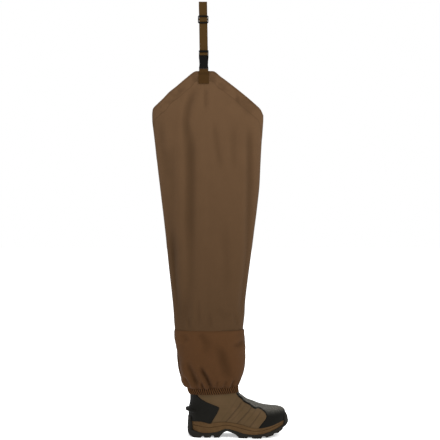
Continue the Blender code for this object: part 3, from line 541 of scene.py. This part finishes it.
def pimpled_tone(tree, place, colour, top, pimple_highlight):
    """Painted light: paler where the rubber faces up, with still paler painted highlights on the pimples
    there; returns the colour and the pimples.
    """
    level = add(tree, "SeparateXYZ", {"Vector": place}, "Z")
    way = add(tree, "TexCoord", out="Normal")
    upward = add(tree, "SeparateXYZ", {"Vector": way}, "Z")
    high = add(tree, "MapRange", {"Value": level, "From Min": PIMPLES_START, "From Max": PIMPLES_FULL})
    facing_up = add(tree, "MapRange", {"Value": upward, "From Min": 0.20, "From Max": 0.80})
    pebbled_lit_top = add(tree, "Math", {0: high, 1: facing_up}, operation="MULTIPLY")
    # Painted light: the top colour where the rubber faces up to the light
    tones = {SHARE: pebbled_lit_top, FIRST: colour, SECOND: linear(top)}
    lit = add(tree, "Mix", tones, RESULT, data_type="RGBA")
    cells = add(tree, "TexVoronoi", {"Vector": place, "Scale": 1 / PIMPLE, "Randomness": 0.9}, "Distance")
    spots = add(tree, "MapRange", {"Value": cells, "From Min": 0.42, "From Max": 0.16})
    pimples = add(tree, "Math", {0: spots, 1: pebbled_lit_top}, operation="MULTIPLY")
    held = add(tree, "Math", {0: pimples, 1: PIMPLE_STRENGTH}, operation="MULTIPLY")
    # Painted highlights on the pimples
    tones = {SHARE: held, FIRST: lit, SECOND: linear(pimple_highlight)}
    return add(tree, "Mix", tones, RESULT, data_type="RGBA"), pimples


def rubber(name, base, mottle, dark_tone_and_painted_shade, roughness, grain=RUBBER_GRAIN, bump=0.15, top="", pimple_highlight=""):
    """Moulded rubber with a fine grain and painted shade in its dips. With a top colour, painted light from
    above, and a pimple highlight colour it is pimpled on its upper side; with an empty mottle its colour is
    even."""
    material, tree, shader = new_material(name, roughness, RUBBER_SPECULAR)
    place = add(tree, "TexCoord", out="Object")
    relief = add(tree, "TexNoise", {"Vector": place, "Scale": 1 / grain, "Detail": 2.0})
    colour = linear(base)
    if top:
        colour, pimples = pimpled_tone(tree, place, colour, top, pimple_highlight)
        relief = add(tree, "Math", {0: pimples, 1: PIMPLE_HEIGHT, 2: relief}, operation="MULTIPLY_ADD")
    second = linear(mottle) if mottle else colour
    toned(tree, shader, place, colour, second, dark_tone_and_painted_shade, RUBBER_FULL_SHADE)
    bumps = add(tree, "Bump", {"Strength": bump, "Distance": RUBBER_RELIEF, "Height": relief})
    tree.links.new(bumps, shader.inputs["Normal"])
    return material


def webbing(name, light, dark, bar=None):
    """Woven belt webbing: lengthwise ribs and a fine cross weave with painted shade in their hollows, darker
    where a bar of stitches lies.
    """
    material, tree, shader = new_material(name, *WEBBING_FINISH)
    place = add(tree, "TexCoord", out="Object")
    lengthwise = {"Vector": place, "Scale": wave_scale(STRAP_RIB), "Distortion": 0.4}
    crosswise = {"Vector": place, "Scale": wave_scale(STRAP_CROSS), "Distortion": 0.8}
    ribs = add(tree, "TexWave", lengthwise, "Fac", bands_direction="X")
    cross = add(tree, "TexWave", crosswise, "Fac", bands_direction="Z")
    both = add(tree, "Math", {0: ribs, 1: cross}, operation="MULTIPLY")
    # Painted shade: the weave's hollows take the dark colour, its raised threads the light one
    raised = add(tree, "MapRange", {"Value": both, "From Min": 0.0, "From Max": 0.8})
    tones = {SHARE: raised, FIRST: linear(dark), SECOND: linear(light)}
    colour = add(tree, "Mix", tones, RESULT, data_type="RGBA")
    if bar:
        height = add(tree, "SeparateXYZ", {"Vector": place}, "Z")
        low, high = bar
        rise = {"Value": height, "From Min": low - BAR_EDGE, "From Max": low + BAR_EDGE}
        fall = {"Value": height, "From Min": high + BAR_EDGE, "From Max": high - BAR_EDGE}
        above = add(tree, "MapRange", rise)
        under = add(tree, "MapRange", fall)
        between = add(tree, "Math", {0: above, 1: under}, operation="MULTIPLY")
        held = add(tree, "Math", {0: between, 1: TAB_BAR_STRENGTH}, operation="MULTIPLY")
        tones = {SHARE: held, FIRST: colour, SECOND: linear(dark)}
        colour = add(tree, "Mix", tones, RESULT, data_type="RGBA")
    tree.links.new(colour, shader.inputs["Base Color"])
    bumps = add(tree, "Bump", {"Strength": 0.5, "Distance": WEAVE_RELIEF, "Height": both})
    tree.links.new(bumps, shader.inputs["Normal"])
    return material


# Polyester woven and coated on the back: dull and even; painted shade makes it darker and a little redder low
# down, and paler towards the hip
leg_cloth = cloth(
    "woven_polyester_coated_cloth", "3E2D1D", "523D2A", "382819", shade_span=(0.28, 1.02), facing=True,
)
# The coating on the back of the cloth: darker and greyer than the face, with a faint painted shade lower down
lining = cloth("coated_cloth_back", "2E2720", "332B23", "221C17")
# Heavier nylon cloth of thick threads: a coarser, redder and deeper brown than the leg, with painted shade in
# its folds and a little painted shade lower down
gaiter_cloth = cloth(
    "heavy_woven_nylon_cloth", "3F2917", "442D1A", "2B1B0C",
    shade_span=(0.14, 0.32), weave=GAITER_THREAD, bump=0.4, full_shade_depth=GAITER_FULL_SHADE,
)
# Cloth gathered over an elastic: ribs in the gaiter's brown, with painted shade almost black in the valleys
# between them
hem_cloth = cloth(
    "gathered_elastic_cloth", "4F331B", "4F331B", "1F1308", weave=HEM_THREAD, full_shade_depth=HEM_FULL_SHADE,
)
# Polyester webbing of the tab: woven ribs without gloss, and a bar of dark stitches across its upper end
tab_webbing = webbing("tab_polyester_webbing", "452F17", "2E1F0D", bar=TAB_BAR)
# Polyester webbing of the strap: the same ribs, a little yellower
strap_webbing = webbing("strap_polyester_webbing", "48341C", "34250F")
# Injection moulded rubber: matt brown, with painted shade at the bottom of its troughs
boot_rubber = rubber("injection_moulded_brown_rubber", "4A3926", "443522", "33271A", 0.65)
# Smooth moulded rubber: black, and a little less dull than the rest of the boot
heel_rubber = rubber("smooth_black_rubber", "0C0B08", "100F0C", "080706", 0.6)
# Rubber moulded with pimples: black, with painted light that makes it grey on top and painted highlights on
# the pimples there
toe_rubber = rubber(
    "pebbled_black_rubber", "0C0B08", "", "0A0908", 0.65, bump=0.6, top="413F3A", pimple_highlight="6E6C66",
)
# Foamed rubber: dull tan brown
midsole_rubber = rubber("foamed_brown_rubber", "4A3721", "412F1C", "2A1E12", 0.75)
# Rubber pressed in a hot mould: dull black with a brown cast
outsole_rubber = rubber("pressed_black_outsole_rubber", "1D1B17", "181613", "0C0B0A", 0.75)
# Needled felt of the footbed: dark grey and without gloss
insole_felt = cloth("needled_insole_felt", "2C2926", "302D29", "1D1B19")
# Injection moulded acetal of buckle and adjuster: black, with a grain almost too fine to see
buckle_plastic = rubber(
    "injection_moulded_black_acetal", "080705", "070605", "050504", 0.6, grain=BUCKLE_GRAIN, bump=0.05,
)

# Boot
# The boot's mesh: rings up the fan, points along each side, and how many outer rings share an inner one
BOOT_RINGS = 120
BOOT_SIDE = 170
BOOT_INNER_STEP = 5
FAN_TOP = BOOT[-1].row
# Diagonal troughs moulded in the vamp, from the throat towards the arch: places are shares of SOLE_LENGTH
Trough = namedtuple("Trough", "top_x top_z low_x low_z width depth")
VAMP = [
    Trough(0.500, 0.385, 0.330, 0.160, 0.0018, 0.0004),
    Trough(0.548, 0.352, 0.366, 0.136, 0.0018, 0.0012),
    Trough(0.590, 0.335, 0.420, 0.150, 0.0018, 0.0005),
    Trough(0.640, 0.303, 0.470, 0.118, 0.0018, 0.0013),
    Trough(0.684, 0.285, 0.530, 0.110, 0.0018, 0.0005),
    Trough(0.727, 0.263, 0.592, 0.082, 0.0018, 0.0011),
]
# Edges of the black overlays in the side view: shares of SOLE_LENGTH and COLLAR_HEIGHT
TOE_EDGE = [
    (0.425, 0.83), (0.460, 0.80), (0.477, 0.712), (0.487, 0.655), (0.503, 0.617), (0.534, 0.580),
    (0.556, 0.540), (0.580, 0.520), (0.610, 0.497), (0.642, 0.458), (0.668, 0.440), (0.694, 0.450),
    (0.732, 0.427), (0.764, 0.388), (0.776, 0.345), (0.768, 0.300), (0.738, 0.245),
    (0.709, 0.186), (0.684, 0.120), (1.20, 0.120), (1.20, 0.83),
]
HEEL_EDGE = [
    (-0.10, 0.78), (0.060, 0.78), (0.095, 0.665), (0.116, 0.628), (0.143, 0.595), (0.192, 0.552),
    (0.260, 0.508), (0.298, 0.484), (0.314, 0.470), (0.316, 0.447), (0.294, 0.371),
    (0.260, 0.284), (0.236, 0.218), (0.215, 0.170), (-0.10, 0.170),
]
# The overlays reach up to this row of the fan. Their edge starts sunk in the boot and is rounded.
OVERLAY_ROW = 13
EDGE_SUNK = 0.0009
EDGE_START = 0.0004
EDGE_ROUND = 0.0022
EDGE_SKIRT = 0.0012
# A trough fades over this share of its length at each end. The swell beside it has this share of its depth,
# and it lies and spreads by so many of its widths.
TROUGH_FADE = 0.10
TROUGH_SWELL = 0.35
SWELL_OFF = 2.2
SWELL_SPREAD = 1.2


def distance_to_line(x, z, ax, az, bx, bz):
    """Distance to a straight stretch and the share along it."""
    dx, dz = bx - ax, bz - az
    share = ((x - ax) * dx + (z - az) * dz) / (dx * dx + dz * dz)
    held = min(1.0, max(0.0, share))
    return math.hypot(x - ax - dx * held, z - az - dz * held), share


def inside_by(edge, x, z):
    """How far a place of the side view lies inside an outline; negative outside."""
    inside, nearest = False, 1.0
    for (ax, az), (bx, bz) in zip(edge, edge[1:] + edge[:1]):
        nearest = min(nearest, distance_to_line(x, z, ax, az, bx, bz)[0])
        if (az > z) != (bz > z) and x < ax + (bx - ax) * (z - az) / (bz - az):
            inside = not inside
    return nearest if inside else -nearest


def vamp_relief(r, c, p):
    """The troughs, each with a low swell beside it, fade out at both ends."""
    total = 0.0
    for trough in VAMP:
        away, share = distance_to_line(
            p.x, p.z, trough.top_x * SOLE_LENGTH, trough.top_z * SOLE_LENGTH,
            trough.low_x * SOLE_LENGTH, trough.low_z * SOLE_LENGTH,
        )
        if 0 < share < 1 and away < 4 * trough.width:
            fade = ease(min(share, 1 - share) / TROUGH_FADE)
            swell = TROUGH_SWELL * bell(away - SWELL_OFF * trough.width, SWELL_SPREAD * trough.width)
            total += trough.depth * fade * (swell - bell(away, trough.width))
    return total


boot_surface = boot_grid(0, FAN_TOP, BOOT_RINGS, BOOT_SIDE)
boot_count = len(boot_surface[0])
vamp = relief_of(boot_surface, vamp_relief)
upper_outer = pushed(boot_surface, vamp)
upper_inner = pushed(boot_surface, -BOOT_WALL, True)[::BOOT_INNER_STEP]
upper = hollow("boot_upper_rubber", upper_outer, upper_inner)
keep_dips_for_shade(upper, vamp)
upper.data.materials.append(boot_rubber)
line_inside(upper, len(upper_outer), boot_count, lining)
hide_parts("boot_upper")


def overlay(name, edge, lip, material, replaced):
    """A raised skin over the boot inside an outline of the side view, rounded down at its edge."""
    edge = [(x * SOLE_LENGTH, z * COLLAR_HEIGHT) for x, z in edge]
    grid = boot_surface[:BOOT_RINGS * OVERLAY_ROW // FAN_TOP]
    inside = [[inside_by(edge, p.x, p.z) for p in ring] for ring in grid]

    def height(r, c, p):
        step = ease((inside[r][c] + EDGE_START) / EDGE_ROUND)
        return -EDGE_SUNK + (OVERLAY + EDGE_SUNK + lip(FAN_TOP * r / BOOT_RINGS, p)) * step

    raised = pushed(grid, relief_of(grid, height))
    points = [point for ring in raised for point in ring]
    depth = [value for line in inside for value in line]
    faces = [f for f in ring_faces(len(grid), boot_count) if max(depth[corner] for corner in f) > -EDGE_SKIRT]
    obj = mesh_object(name, points, faces, OVERLAY_CREASE)
    shape = bmesh.new()
    shape.from_mesh(obj.data)
    bmesh.ops.delete(shape, geom=[v for v in shape.verts if not v.link_faces], context="VERTS")
    shape.to_mesh(obj.data)
    shape.free()
    obj.data.materials.append(material)
    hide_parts(replaced)


# The kick spur: places along the heel in shares of SPUR_REACH, heights in rows of the fan
SPUR_END = 1.5
SPUR_FADE = 1.4
SPUR_DROP = 0.55
SPUR_ABOVE = 0.75
SPUR_BELOW = 1.05
SPUR_BLUNT = 1.7
# The groove up each side of the heel counter, near its back edge
BACKSTAY_DEPTH = 0.0007
BACKSTAY_WIDTH = 0.0012
BACKSTAY_FADE = 0.5


def spur(row, p):
    """The kick spur, a blunt lip round the heel that runs down a little at its sides, and two grooves."""
    away = (p.x - BOOT[SPUR_ROW].back * SOLE_LENGTH) / SPUR_REACH
    if away > SPUR_END:
        return 0.0
    above = row - SPUR_ROW + SPUR_DROP * max(0.0, away)
    ridge = max(0.0, 1 - abs(above) / (SPUR_ABOVE if above > 0 else SPUR_BELOW))
    groove = BACKSTAY_DEPTH * bell(p.x - BACKSTAY, BACKSTAY_WIDTH)
    groove *= ease((row - SPUR_ROW - 1) / BACKSTAY_FADE)
    return SPUR * ease(SPUR_BLUNT * ridge) * ease((SPUR_END - away) / SPUR_FADE) - groove


# The fuller top of the toe cap: where it starts and how fast, in shares of COLLAR_HEIGHT, how full it is,
# and two low swells behind SWELLS_END
INSTEP_FROM = 0.34
INSTEP_RISE = 0.10
INSTEP = 0.0020
SWELL = 0.0007
SWELL_START = 0.162
SWELL_LENGTH = 0.034
SWELLS_END = 0.210


def instep(row, p):
    """The toe cap stands fuller along the top of the foot, with two low swells over the instep."""
    over = ease((p.z - INSTEP_FROM * COLLAR_HEIGHT) / (INSTEP_RISE * COLLAR_HEIGHT))
    swells = math.cos(2 * math.pi * (p.x - SWELL_START) / SWELL_LENGTH) if p.x < SWELLS_END else 0.0
    return over * (INSTEP + SWELL * swells)


overlay("toe_cap_rubber", TOE_EDGE, instep, toe_rubber, "toe_cap")
overlay("heel_counter_rubber", HEEL_EDGE, spur, heel_rubber, "heel_counter")

# Leg
# Soft folds of the cloth along a path of the side view: places are shares of THIGH_WIDTH,
# heights of LEG_HEIGHT, width and depth in metres
Fold = namedtuple("Fold", "path width depth")
LEG_FOLDS = [
    Fold(((0.092, 0.966), (0.045, 0.935), (0.010, 0.905), (-0.010, 0.870), (-0.004, 0.800)), 0.011, 0.0044),
    Fold(((0.020, 0.860), (0.024, 0.700), (0.023, 0.431), (-0.006, 0.345), (-0.020, 0.285)), 0.0165, 0.0070),
    Fold(((-0.115, 0.830), (-0.130, 0.700), (-0.132, 0.560)), 0.016, 0.0040),
    Fold(((-0.160, 0.600), (-0.138, 0.450), (-0.090, 0.285)), 0.022, 0.0105),
    Fold(((0.160, 0.962), (0.163, 0.890)), 0.007, 0.0034),
    Fold(((0.232, 0.880), (0.255, 0.812), (0.305, 0.720)), 0.010, 0.0034),
    Fold(((0.414, 0.860), (0.414, 0.725)), 0.010, 0.0018),
    Fold(((0.556, 0.860), (0.560, 0.700), (0.545, 0.500), (0.489, 0.320)), 0.011, 0.0046),
    Fold(((0.440, 0.935), (0.520, 0.910), (0.600, 0.880)), 0.016, 0.0036),
    Fold(((0.060, 1.000), (0.085, 0.975)), 0.006, 0.0026),
    Fold(((0.225, 0.990), (0.235, 0.965)), 0.006, 0.0028),
    Fold(((-0.245, 0.880), (-0.215, 0.700), (-0.190, 0.560)), 0.012, 0.0026),
    Fold(((0.330, 0.600), (0.360, 0.450), (0.350, 0.380)), 0.014, 0.0022),
    Fold(((0.250, 0.360), (0.330, 0.335), (0.400, 0.345)), 0.012, 0.0024),
    Fold(((-0.200, 0.800), (-0.170, 0.700)), 0.014, 0.0030),
    Fold(((0.120, 0.560), (0.150, 0.400)), 0.016, 0.0016),
    Fold(((0.095, 0.390), (0.102, 0.300)), 0.006, 0.0030),
    Fold(((0.195, 0.345), (0.205, 0.300)), 0.006, 0.0026),
    Fold(((0.010, 0.330), (0.022, 0.296)), 0.005, 0.0026),
    Fold(((0.420, 0.345), (0.450, 0.300)), 0.006, 0.0022),
]
GAITER_FOLDS = [
    Fold(((0.240, 0.128), (0.195, 0.152), (0.161, 0.172), (0.105, 0.200)), 0.0065, 0.0074),
    Fold(((0.215, 0.132), (0.190, 0.150)), 0.004, 0.0040),
    Fold(((0.112, 0.134), (0.064, 0.160), (0.020, 0.190), (-0.010, 0.215)), 0.009, 0.0056),
    Fold(((0.392, 0.150), (0.350, 0.195), (0.311, 0.230), (0.245, 0.262)), 0.017, 0.0046),
    Fold(((0.530, 0.262), (0.455, 0.252), (0.380, 0.252)), 0.008, 0.0032),
    Fold(((0.262, 0.132), (0.268, 0.160)), 0.0045, 0.0042),
    Fold(((0.330, 0.132), (0.352, 0.160)), 0.0045, 0.0042),
    Fold(((0.388, 0.134), (0.425, 0.158)), 0.0045, 0.0040),
    Fold(((0.150, 0.132), (0.130, 0.155)), 0.004, 0.0038),
    Fold(((0.030, 0.136), (-0.030, 0.170)), 0.006, 0.0044),
    Fold(((-0.055, 0.150), (-0.088, 0.190), (-0.098, 0.235)), 0.012, 0.0046),
    Fold(((-0.040, 0.288), (0.000, 0.262)), 0.011, 0.0026),
    Fold(((0.110, 0.292), (0.185, 0.258)), 0.012, 0.0024),
    Fold(((0.190, 0.270), (0.150, 0.225)), 0.016, 0.0022),
]
# A fold's ridges beside its trough, in shares of its depth. It fades over so many widths at each end, or over
# a share of its length where that is less, and starts with a little of its depth.
FOLD_RIDGE = 0.35
FOLD_FADE_WIDTHS = 6
FOLD_FADE_SHARE = 0.35
FOLD_START = 0.12


def fold_depth(folds, x, z):
    """Height of the folds at a place: a trough with a low ridge at each side."""
    total = 0.0
    for fold in folds:
        path = [(across * THIGH_WIDTH, height * LEG_HEIGHT) for across, height in fold.path]
        reach = 4 * fold.width
        if not (min(px for px, pz in path) - reach < x < max(px for px, pz in path) + reach):
            continue
        if not (min(pz for px, pz in path) - reach < z < max(pz for px, pz in path) + reach):
            continue
        nearest, run, so_far = 1.0, 0.0, 0.0
        for (ax, az), (bx, bz) in zip(path, path[1:]):
            length = math.dist((ax, az), (bx, bz))
            away, share = distance_to_line(x, z, ax, az, bx, bz)
            if away < nearest:
                nearest, run = away, so_far + length * min(1.0, max(0.0, share))
            so_far += length
        stretch = min(FOLD_FADE_WIDTHS * fold.width, FOLD_FADE_SHARE * so_far)
        fade = ease(min(run, so_far - run) / stretch + FOLD_START)
        trough = bell(nearest, fold.width)
        ridge = FOLD_RIDGE * bell(nearest - 2 * fold.width, fold.width)
        total += fold.depth * fade * (ridge - trough)
    return total


def leg_point(table, height, across, side):
    """A point of a leg section: across runs from -1 at the back to 1 at the front."""
    back = THIGH_WIDTH * table["back"](height)
    front = THIGH_WIDTH * table["front"](height)
    depth = THIGH_DEPTH * table["depth"](height) / 2
    bulge = max(0.0, 1 - abs(across) ** OVAL_POWER) ** (1 / OVAL_POWER)
    x = (back + front) / 2 + across * (front - back) / 2
    return Vector((x, side * depth * bulge, LEG_HEIGHT * height + table["tilt"](height) * across))


def round_places(count):
    """Places round the leg's section, closer together at its front and back."""
    places = []
    for i in range(count):
        angle = 2 * math.pi * i / count
        places.append((-math.cos(angle), -1 if angle < math.pi else 1))
    return places


def rim_height(across, side):
    return outer_rim(across) if side < 0 else inner_rim(across)


SHAFT_ROWS = 120
RIM_ROWS = 48
SHAFT_PLACES = 240
LEG_INNER_STEP = 2
shaft_places = round_places(SHAFT_PLACES)


def shaft_grid():
    """Level rings up to RIM_START, then rings that rise to the top edge."""
    start = RIM_START / LEG_HEIGHT
    grid = []
    for r in range(SHAFT_ROWS):
        height = SHAFT[0].height + (start - SHAFT[0].height) * r / SHAFT_ROWS
        grid.append([leg_point(shaft, height, across, side) for across, side in shaft_places])
    for r in range(RIM_ROWS + 1):
        ring = []
        for across, side in shaft_places:
            height = start + (rim_height(across, side) - start) * r / RIM_ROWS
            ring.append(leg_point(shaft, height, across, side))
        grid.append(ring)
    return grid


# Half the stretch over which the top edge's slope is measured, as a share of the leg's half width
SLOPE_STEP = 0.02


def below_rim(p, across, side):
    """Distance from a place of the leg to its sloping top edge."""
    rim = LEG_HEIGHT * rim_height(across, side)
    ahead, behind = min(1, across + SLOPE_STEP), max(-1, across - SLOPE_STEP)
    rise = LEG_HEIGHT * (rim_height(ahead, side) - rim_height(behind, side))
    return (rim - p.z) / math.hypot(1, rise / ((ahead - behind) * THIGH_WIDTH / 2))


# Places on the inner side are counted backwards from these shares of THIGH_WIDTH, so that the outer side's
# folds come out mirrored there. The leg's are also shallower there.
LEG_MIRROR = 0.37
GAITER_MIRROR = 0.42
INNER_FOLDS = 0.7
# At the leg's front and back the folds keep this share of their depth, so that the outline stays smooth
EDGE_FOLDS = 0.25
EDGE_WIDTH = 0.12
# A slow unevenness of the cloth: its height, and how often it turns in a metre along x, y and z. The facing
# stands up by its step.
LEG_UNEVEN = 0.0018
LEG_TURNS = (14, 14, 5)
FACING_STEP = 0.0006
FACING_ROUND = 0.0015
# The leg is plain where it is hidden in the boot, and its relief grows over a stretch above that
LEG_PLAIN_TO = 0.165
LEG_RELIEF_RUN = 0.02


def uneven(p, turns):
    return noise.noise(Vector((p.x * turns[0], p.y * turns[1], p.z * turns[2])))


def shaft_relief(r, c, p):
    """Folds, a slow unevenness of the cloth, and the facing sewn along the top edge."""
    across, side = shaft_places[c]
    x = p.x if side < 0 else LEG_MIRROR * THIGH_WIDTH - p.x
    total = fold_depth(LEG_FOLDS, x, p.z) * (1.0 if side < 0 else INNER_FOLDS)
    total *= EDGE_FOLDS + (1 - EDGE_FOLDS) * ease((1 - abs(across)) / EDGE_WIDTH)
    total += LEG_UNEVEN * uneven(p, LEG_TURNS)
    total += FACING_STEP * ease((FACING - below_rim(p, across, side)) / FACING_ROUND)
    return total * ease((p.z - LEG_PLAIN_TO) / LEG_RELIEF_RUN)


shaft_surface = shaft_grid()
shaft_folds = relief_of(shaft_surface, shaft_relief)
shaft_outer = pushed(shaft_surface, shaft_folds, True)
shaft_inner = pushed(shaft_outer, -SHAFT_WALL, True)[::LEG_INNER_STEP]
leg = hollow("leg_cloth_tube", shaft_outer, shaft_inner)
keep_dips_for_shade(leg, shaft_folds)
write_on(leg, "below_rim", relief_of(shaft_surface, lambda r, c, p: below_rim(p, *shaft_places[c])))
leg.data.materials.append(leg_cloth)
line_inside(leg, len(shaft_outer), len(shaft_places), lining)
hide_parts("shaft")

# Gaiter
GAITER_ROWS = 90
GAITER_PLACES = 300
GAITER_CLOTH = 0.0007
# Above 1 the rings lie closer together near the hem
GAITER_CROWDING = 1.2
# Puckers from the gathered hem: how many round the leg, how far they wander, and where they end
PUCKERS = 26
PUCKER_WANDER = 9
PUCKER_DEPTH = 0.0014
PUCKER_TOP = 0.172
PUCKER_RUN = 0.036
GAITER_UNEVEN = 0.0022
GAITER_TURNS = (18, 18, 12)
# The relief starts above the hem, in shares of LEG_HEIGHT, and ends below the top, where the edge turns in
GAITER_PLAIN_TO = 0.1330
GAITER_RELIEF_RUN = 0.004
GAITER_RELIEF_END = 0.012
GAITER_TURN_IN = 0.0014
GAITER_TURN_RUN = 0.006
gaiter_places = round_places(GAITER_PLACES)
gaiter_top = LEG_HEIGHT * GAITER[-1].height


def gaiter_relief(r, c, p):
    """Folds, puckers that grow towards the gathered hem, and the edge turned in at the top seam."""
    across, side = gaiter_places[c]
    x = p.x if side < 0 else GAITER_MIRROR * THIGH_WIDTH - p.x
    height = p.z / LEG_HEIGHT
    angle = 2 * math.pi * c / len(gaiter_places)
    drift = noise.noise(Vector((2 * math.cos(angle), 2 * math.sin(angle), 0.3)))
    wave = math.sin(PUCKERS * angle + PUCKER_WANDER * drift)
    total = fold_depth(GAITER_FOLDS, x, p.z)
    total += PUCKER_DEPTH * ease((PUCKER_TOP - height) / PUCKER_RUN) * wave
    total += GAITER_UNEVEN * uneven(p, GAITER_TURNS)
    below = gaiter_top - p.z
    total *= ease((height - GAITER_PLAIN_TO) / GAITER_RELIEF_RUN) * ease(below / GAITER_RELIEF_END)
    return total - GAITER_TURN_IN * ease(1 - below / GAITER_TURN_RUN)


gaiter_surface = []
for r in range(GAITER_ROWS + 1):
    risen = (r / GAITER_ROWS) ** GAITER_CROWDING
    level = GAITER[0].height + (GAITER[-1].height - GAITER[0].height) * risen
    gaiter_surface.append([leg_point(gaiter, level, across, side) for across, side in gaiter_places])
gaiter_folds = relief_of(gaiter_surface, gaiter_relief)
gaiter_outer = pushed(gaiter_surface, gaiter_folds, True)
gaiter_inner = pushed(gaiter_outer, -GAITER_CLOTH, True)[::LEG_INNER_STEP]
cover = hollow("gaiter_cloth_cover", gaiter_outer, gaiter_inner)
keep_dips_for_shade(cover, gaiter_folds)
cover.data.materials.append(gaiter_cloth)
line_inside(cover, len(gaiter_outer), len(gaiter_places), lining)
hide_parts("gaiter")

# Hem
# An elastic hem between two rows of the boot's fan, flared at the back and front, with slanted gathers
HEM_FROM = 10.75
HEM_TO = 12.27
HEM_SIDE = 330
HEM_INNER_STEP = 9
HEM_RIBS = 60
HEM_STEPS = 18
HEM_STAND_OFF = 0.0034
HEM_THICKNESS = 0.0026
HEM_FLARE = 0.0062
HEM_FRONT_FLARE = 0.008
HEM_FLARE_REACH = 0.090
HEM_FLARE_POWER = 1.5
HEM_RIB_HALF = 0.0013
HEM_SWELL = 0.0016
# How far a gather leans over the hem's height and how far it wanders, in spacings of the gathers
HEM_LEAN = 0.6
HEM_WANDER = 0.35
HEM_WANDER_TURNS = (30, 1.5)
hem_surface = boot_grid(HEM_FROM, HEM_TO, HEM_STEPS, HEM_SIDE)

# Lengths along the hem's middle ring, so that the gathers are evenly spaced round it
hem_ring = hem_surface[HEM_STEPS // 2]
hem_run = [0.0]
for here, ahead in zip(hem_ring, hem_ring[1:] + hem_ring[:1]):
    hem_run.append(hem_run[-1] + (ahead - here).length)


def hem_gathers(r, c, p):
    """The gathers' valleys, measured down from their ridges."""
    share = r / HEM_STEPS
    around = hem_run[c] / hem_run[-1]
    turns_round, turns_up = HEM_WANDER_TURNS
    wander = HEM_WANDER * noise.noise(Vector((turns_round * around, turns_up * share, 0)))
    return HEM_RIB_HALF * (math.cos(2 * math.pi * (HEM_RIBS * around + HEM_LEAN * share + wander)) - 1)


def hem_underside(r, c, p):
    """How far the hem's inside stands off the boot: more towards its upper edge, at back and front."""
    rise = (r / HEM_STEPS) ** HEM_FLARE_POWER
    front = ease((p.x - HEM_FLARE_REACH) / HEM_FLARE_REACH)
    back = max(0.0, 1 - p.x / HEM_FLARE_REACH)
    return HEM_STAND_OFF + rise * (HEM_FLARE * back + HEM_FRONT_FLARE * front)


def hem_face(r, c, p):
    swell = HEM_SWELL * math.sin(math.pi * r / HEM_STEPS)
    return hem_underside(r, c, p) + HEM_THICKNESS + swell + hem_ribs[r][c]


hem_ribs = relief_of(hem_surface, hem_gathers)
hem_outer = pushed(hem_surface, relief_of(hem_surface, hem_face), True)
hem_inner = pushed(hem_surface, relief_of(hem_surface, hem_underside), True)[::HEM_INNER_STEP]
hem = hollow("hem_elastic_band", hem_outer, hem_inner)
keep_dips_for_shade(hem, hem_ribs)
hem.data.materials.append(hem_cloth)
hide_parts("gaiter_hem")

# Pieces whose form is the solid's own: name, material and the width of their rounded edges
CARRIED = (
    ("outsole", outsole_rubber, 0.0007),
    ("midsole", midsole_rubber, 0.0008),
    ("insole", insole_felt, 0.0006),
    ("strap_tab", tab_webbing, 0.0),
    ("buckle_female", buckle_plastic, 0.0005),
    ("buckle_male", buckle_plastic, 0.0004),
    ("triglide", buckle_plastic, 0.0005),
    ("belt_strap", strap_webbing, 0.0),
)
for name, material, edge in CARRIED:
    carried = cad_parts[name]
    carried.data.materials.clear()
    carried.data.materials.append(material)
    if edge:
        rounded = carried.modifiers.new("rounded_edges", "BEVEL")
        rounded.width = edge
        rounded.segments = 2
        rounded.limit_method = "ANGLE"
        rounded.angle_limit = math.radians(CREASE)
        rounded.use_clamp_overlap = True

# Studio
PAPER_SIDE = 40
PAPER_GLOW = 0.40
bpy.ops.mesh.primitive_plane_add(size=PAPER_SIDE, location=(0, 0, 0))
floor = bpy.context.object
floor.name = "studio_floor"
# White paper that also glows a little, so that it stays white under the sole
paper, _, paper_shader = new_material("white_studio_paper", 1.0, 0.0)
paper_shader.inputs["Base Color"].default_value = linear("FFFFFF")
paper_shader.inputs["Emission Color"].default_value = linear("FFFFFF")
paper_shader.inputs["Emission Strength"].default_value = PAPER_GLOW
floor.data.materials.append(paper)

Softbox = namedtuple("Softbox", "name place target size watts")
SOFTBOXES = (
    Softbox("key_softbox", (1.9, -2.2, 2.4), (0, 0, 0.6), (1.0, 1.2), 60),
    Softbox("fill_softbox", (-2.2, -1.6, 1.4), (0, 0, 0.6), (1.0, 1.6), 12),
    Softbox("top_softbox", (0.3, 0.6, 2.9), (0, 0, 0.5), (1.2, 1.0), 34),
)
for box in SOFTBOXES:
    light = bpy.data.lights.new(box.name, "AREA")
    light.shape = "RECTANGLE"
    light.size, light.size_y = box.size
    light.energy = box.watts
    lamp = bpy.data.objects.new(box.name, light)
    lamp.location = box.place
    lamp.rotation_euler = (Vector(box.target) - Vector(box.place)).to_track_quat("-Z", "Y").to_euler()
    bpy.context.scene.collection.objects.link(lamp)

world = bpy.data.worlds.new("studio_air")
bpy.context.scene.world = world
world.use_nodes = True
world.node_tree.nodes["Background"].inputs["Color"].default_value = (1, 1, 1, 1)
world.node_tree.nodes["Background"].inputs["Strength"].default_value = 1.0

# A level camera at the middle of the wader's height, with the whole of it in the picture
CAMERA_DISTANCE = 3.10
CAMERA_ALONG = 0.0372
CAMERA_HEIGHT = 0.645
FRAME_WIDTH = 1.32
SENSOR = 36
camera_data = bpy.data.cameras.new("product_camera")
camera_data.sensor_width = SENSOR
camera_data.lens = SENSOR * CAMERA_DISTANCE / FRAME_WIDTH
camera = bpy.data.objects.new("product_camera", camera_data)
camera.location = (CAMERA_ALONG, -CAMERA_DISTANCE, CAMERA_HEIGHT)
camera.rotation_euler = (math.radians(90), 0, 0)
bpy.context.scene.collection.objects.link(camera)
bpy.context.scene.camera = camera
bpy.context.scene.view_settings.view_transform = "Standard"
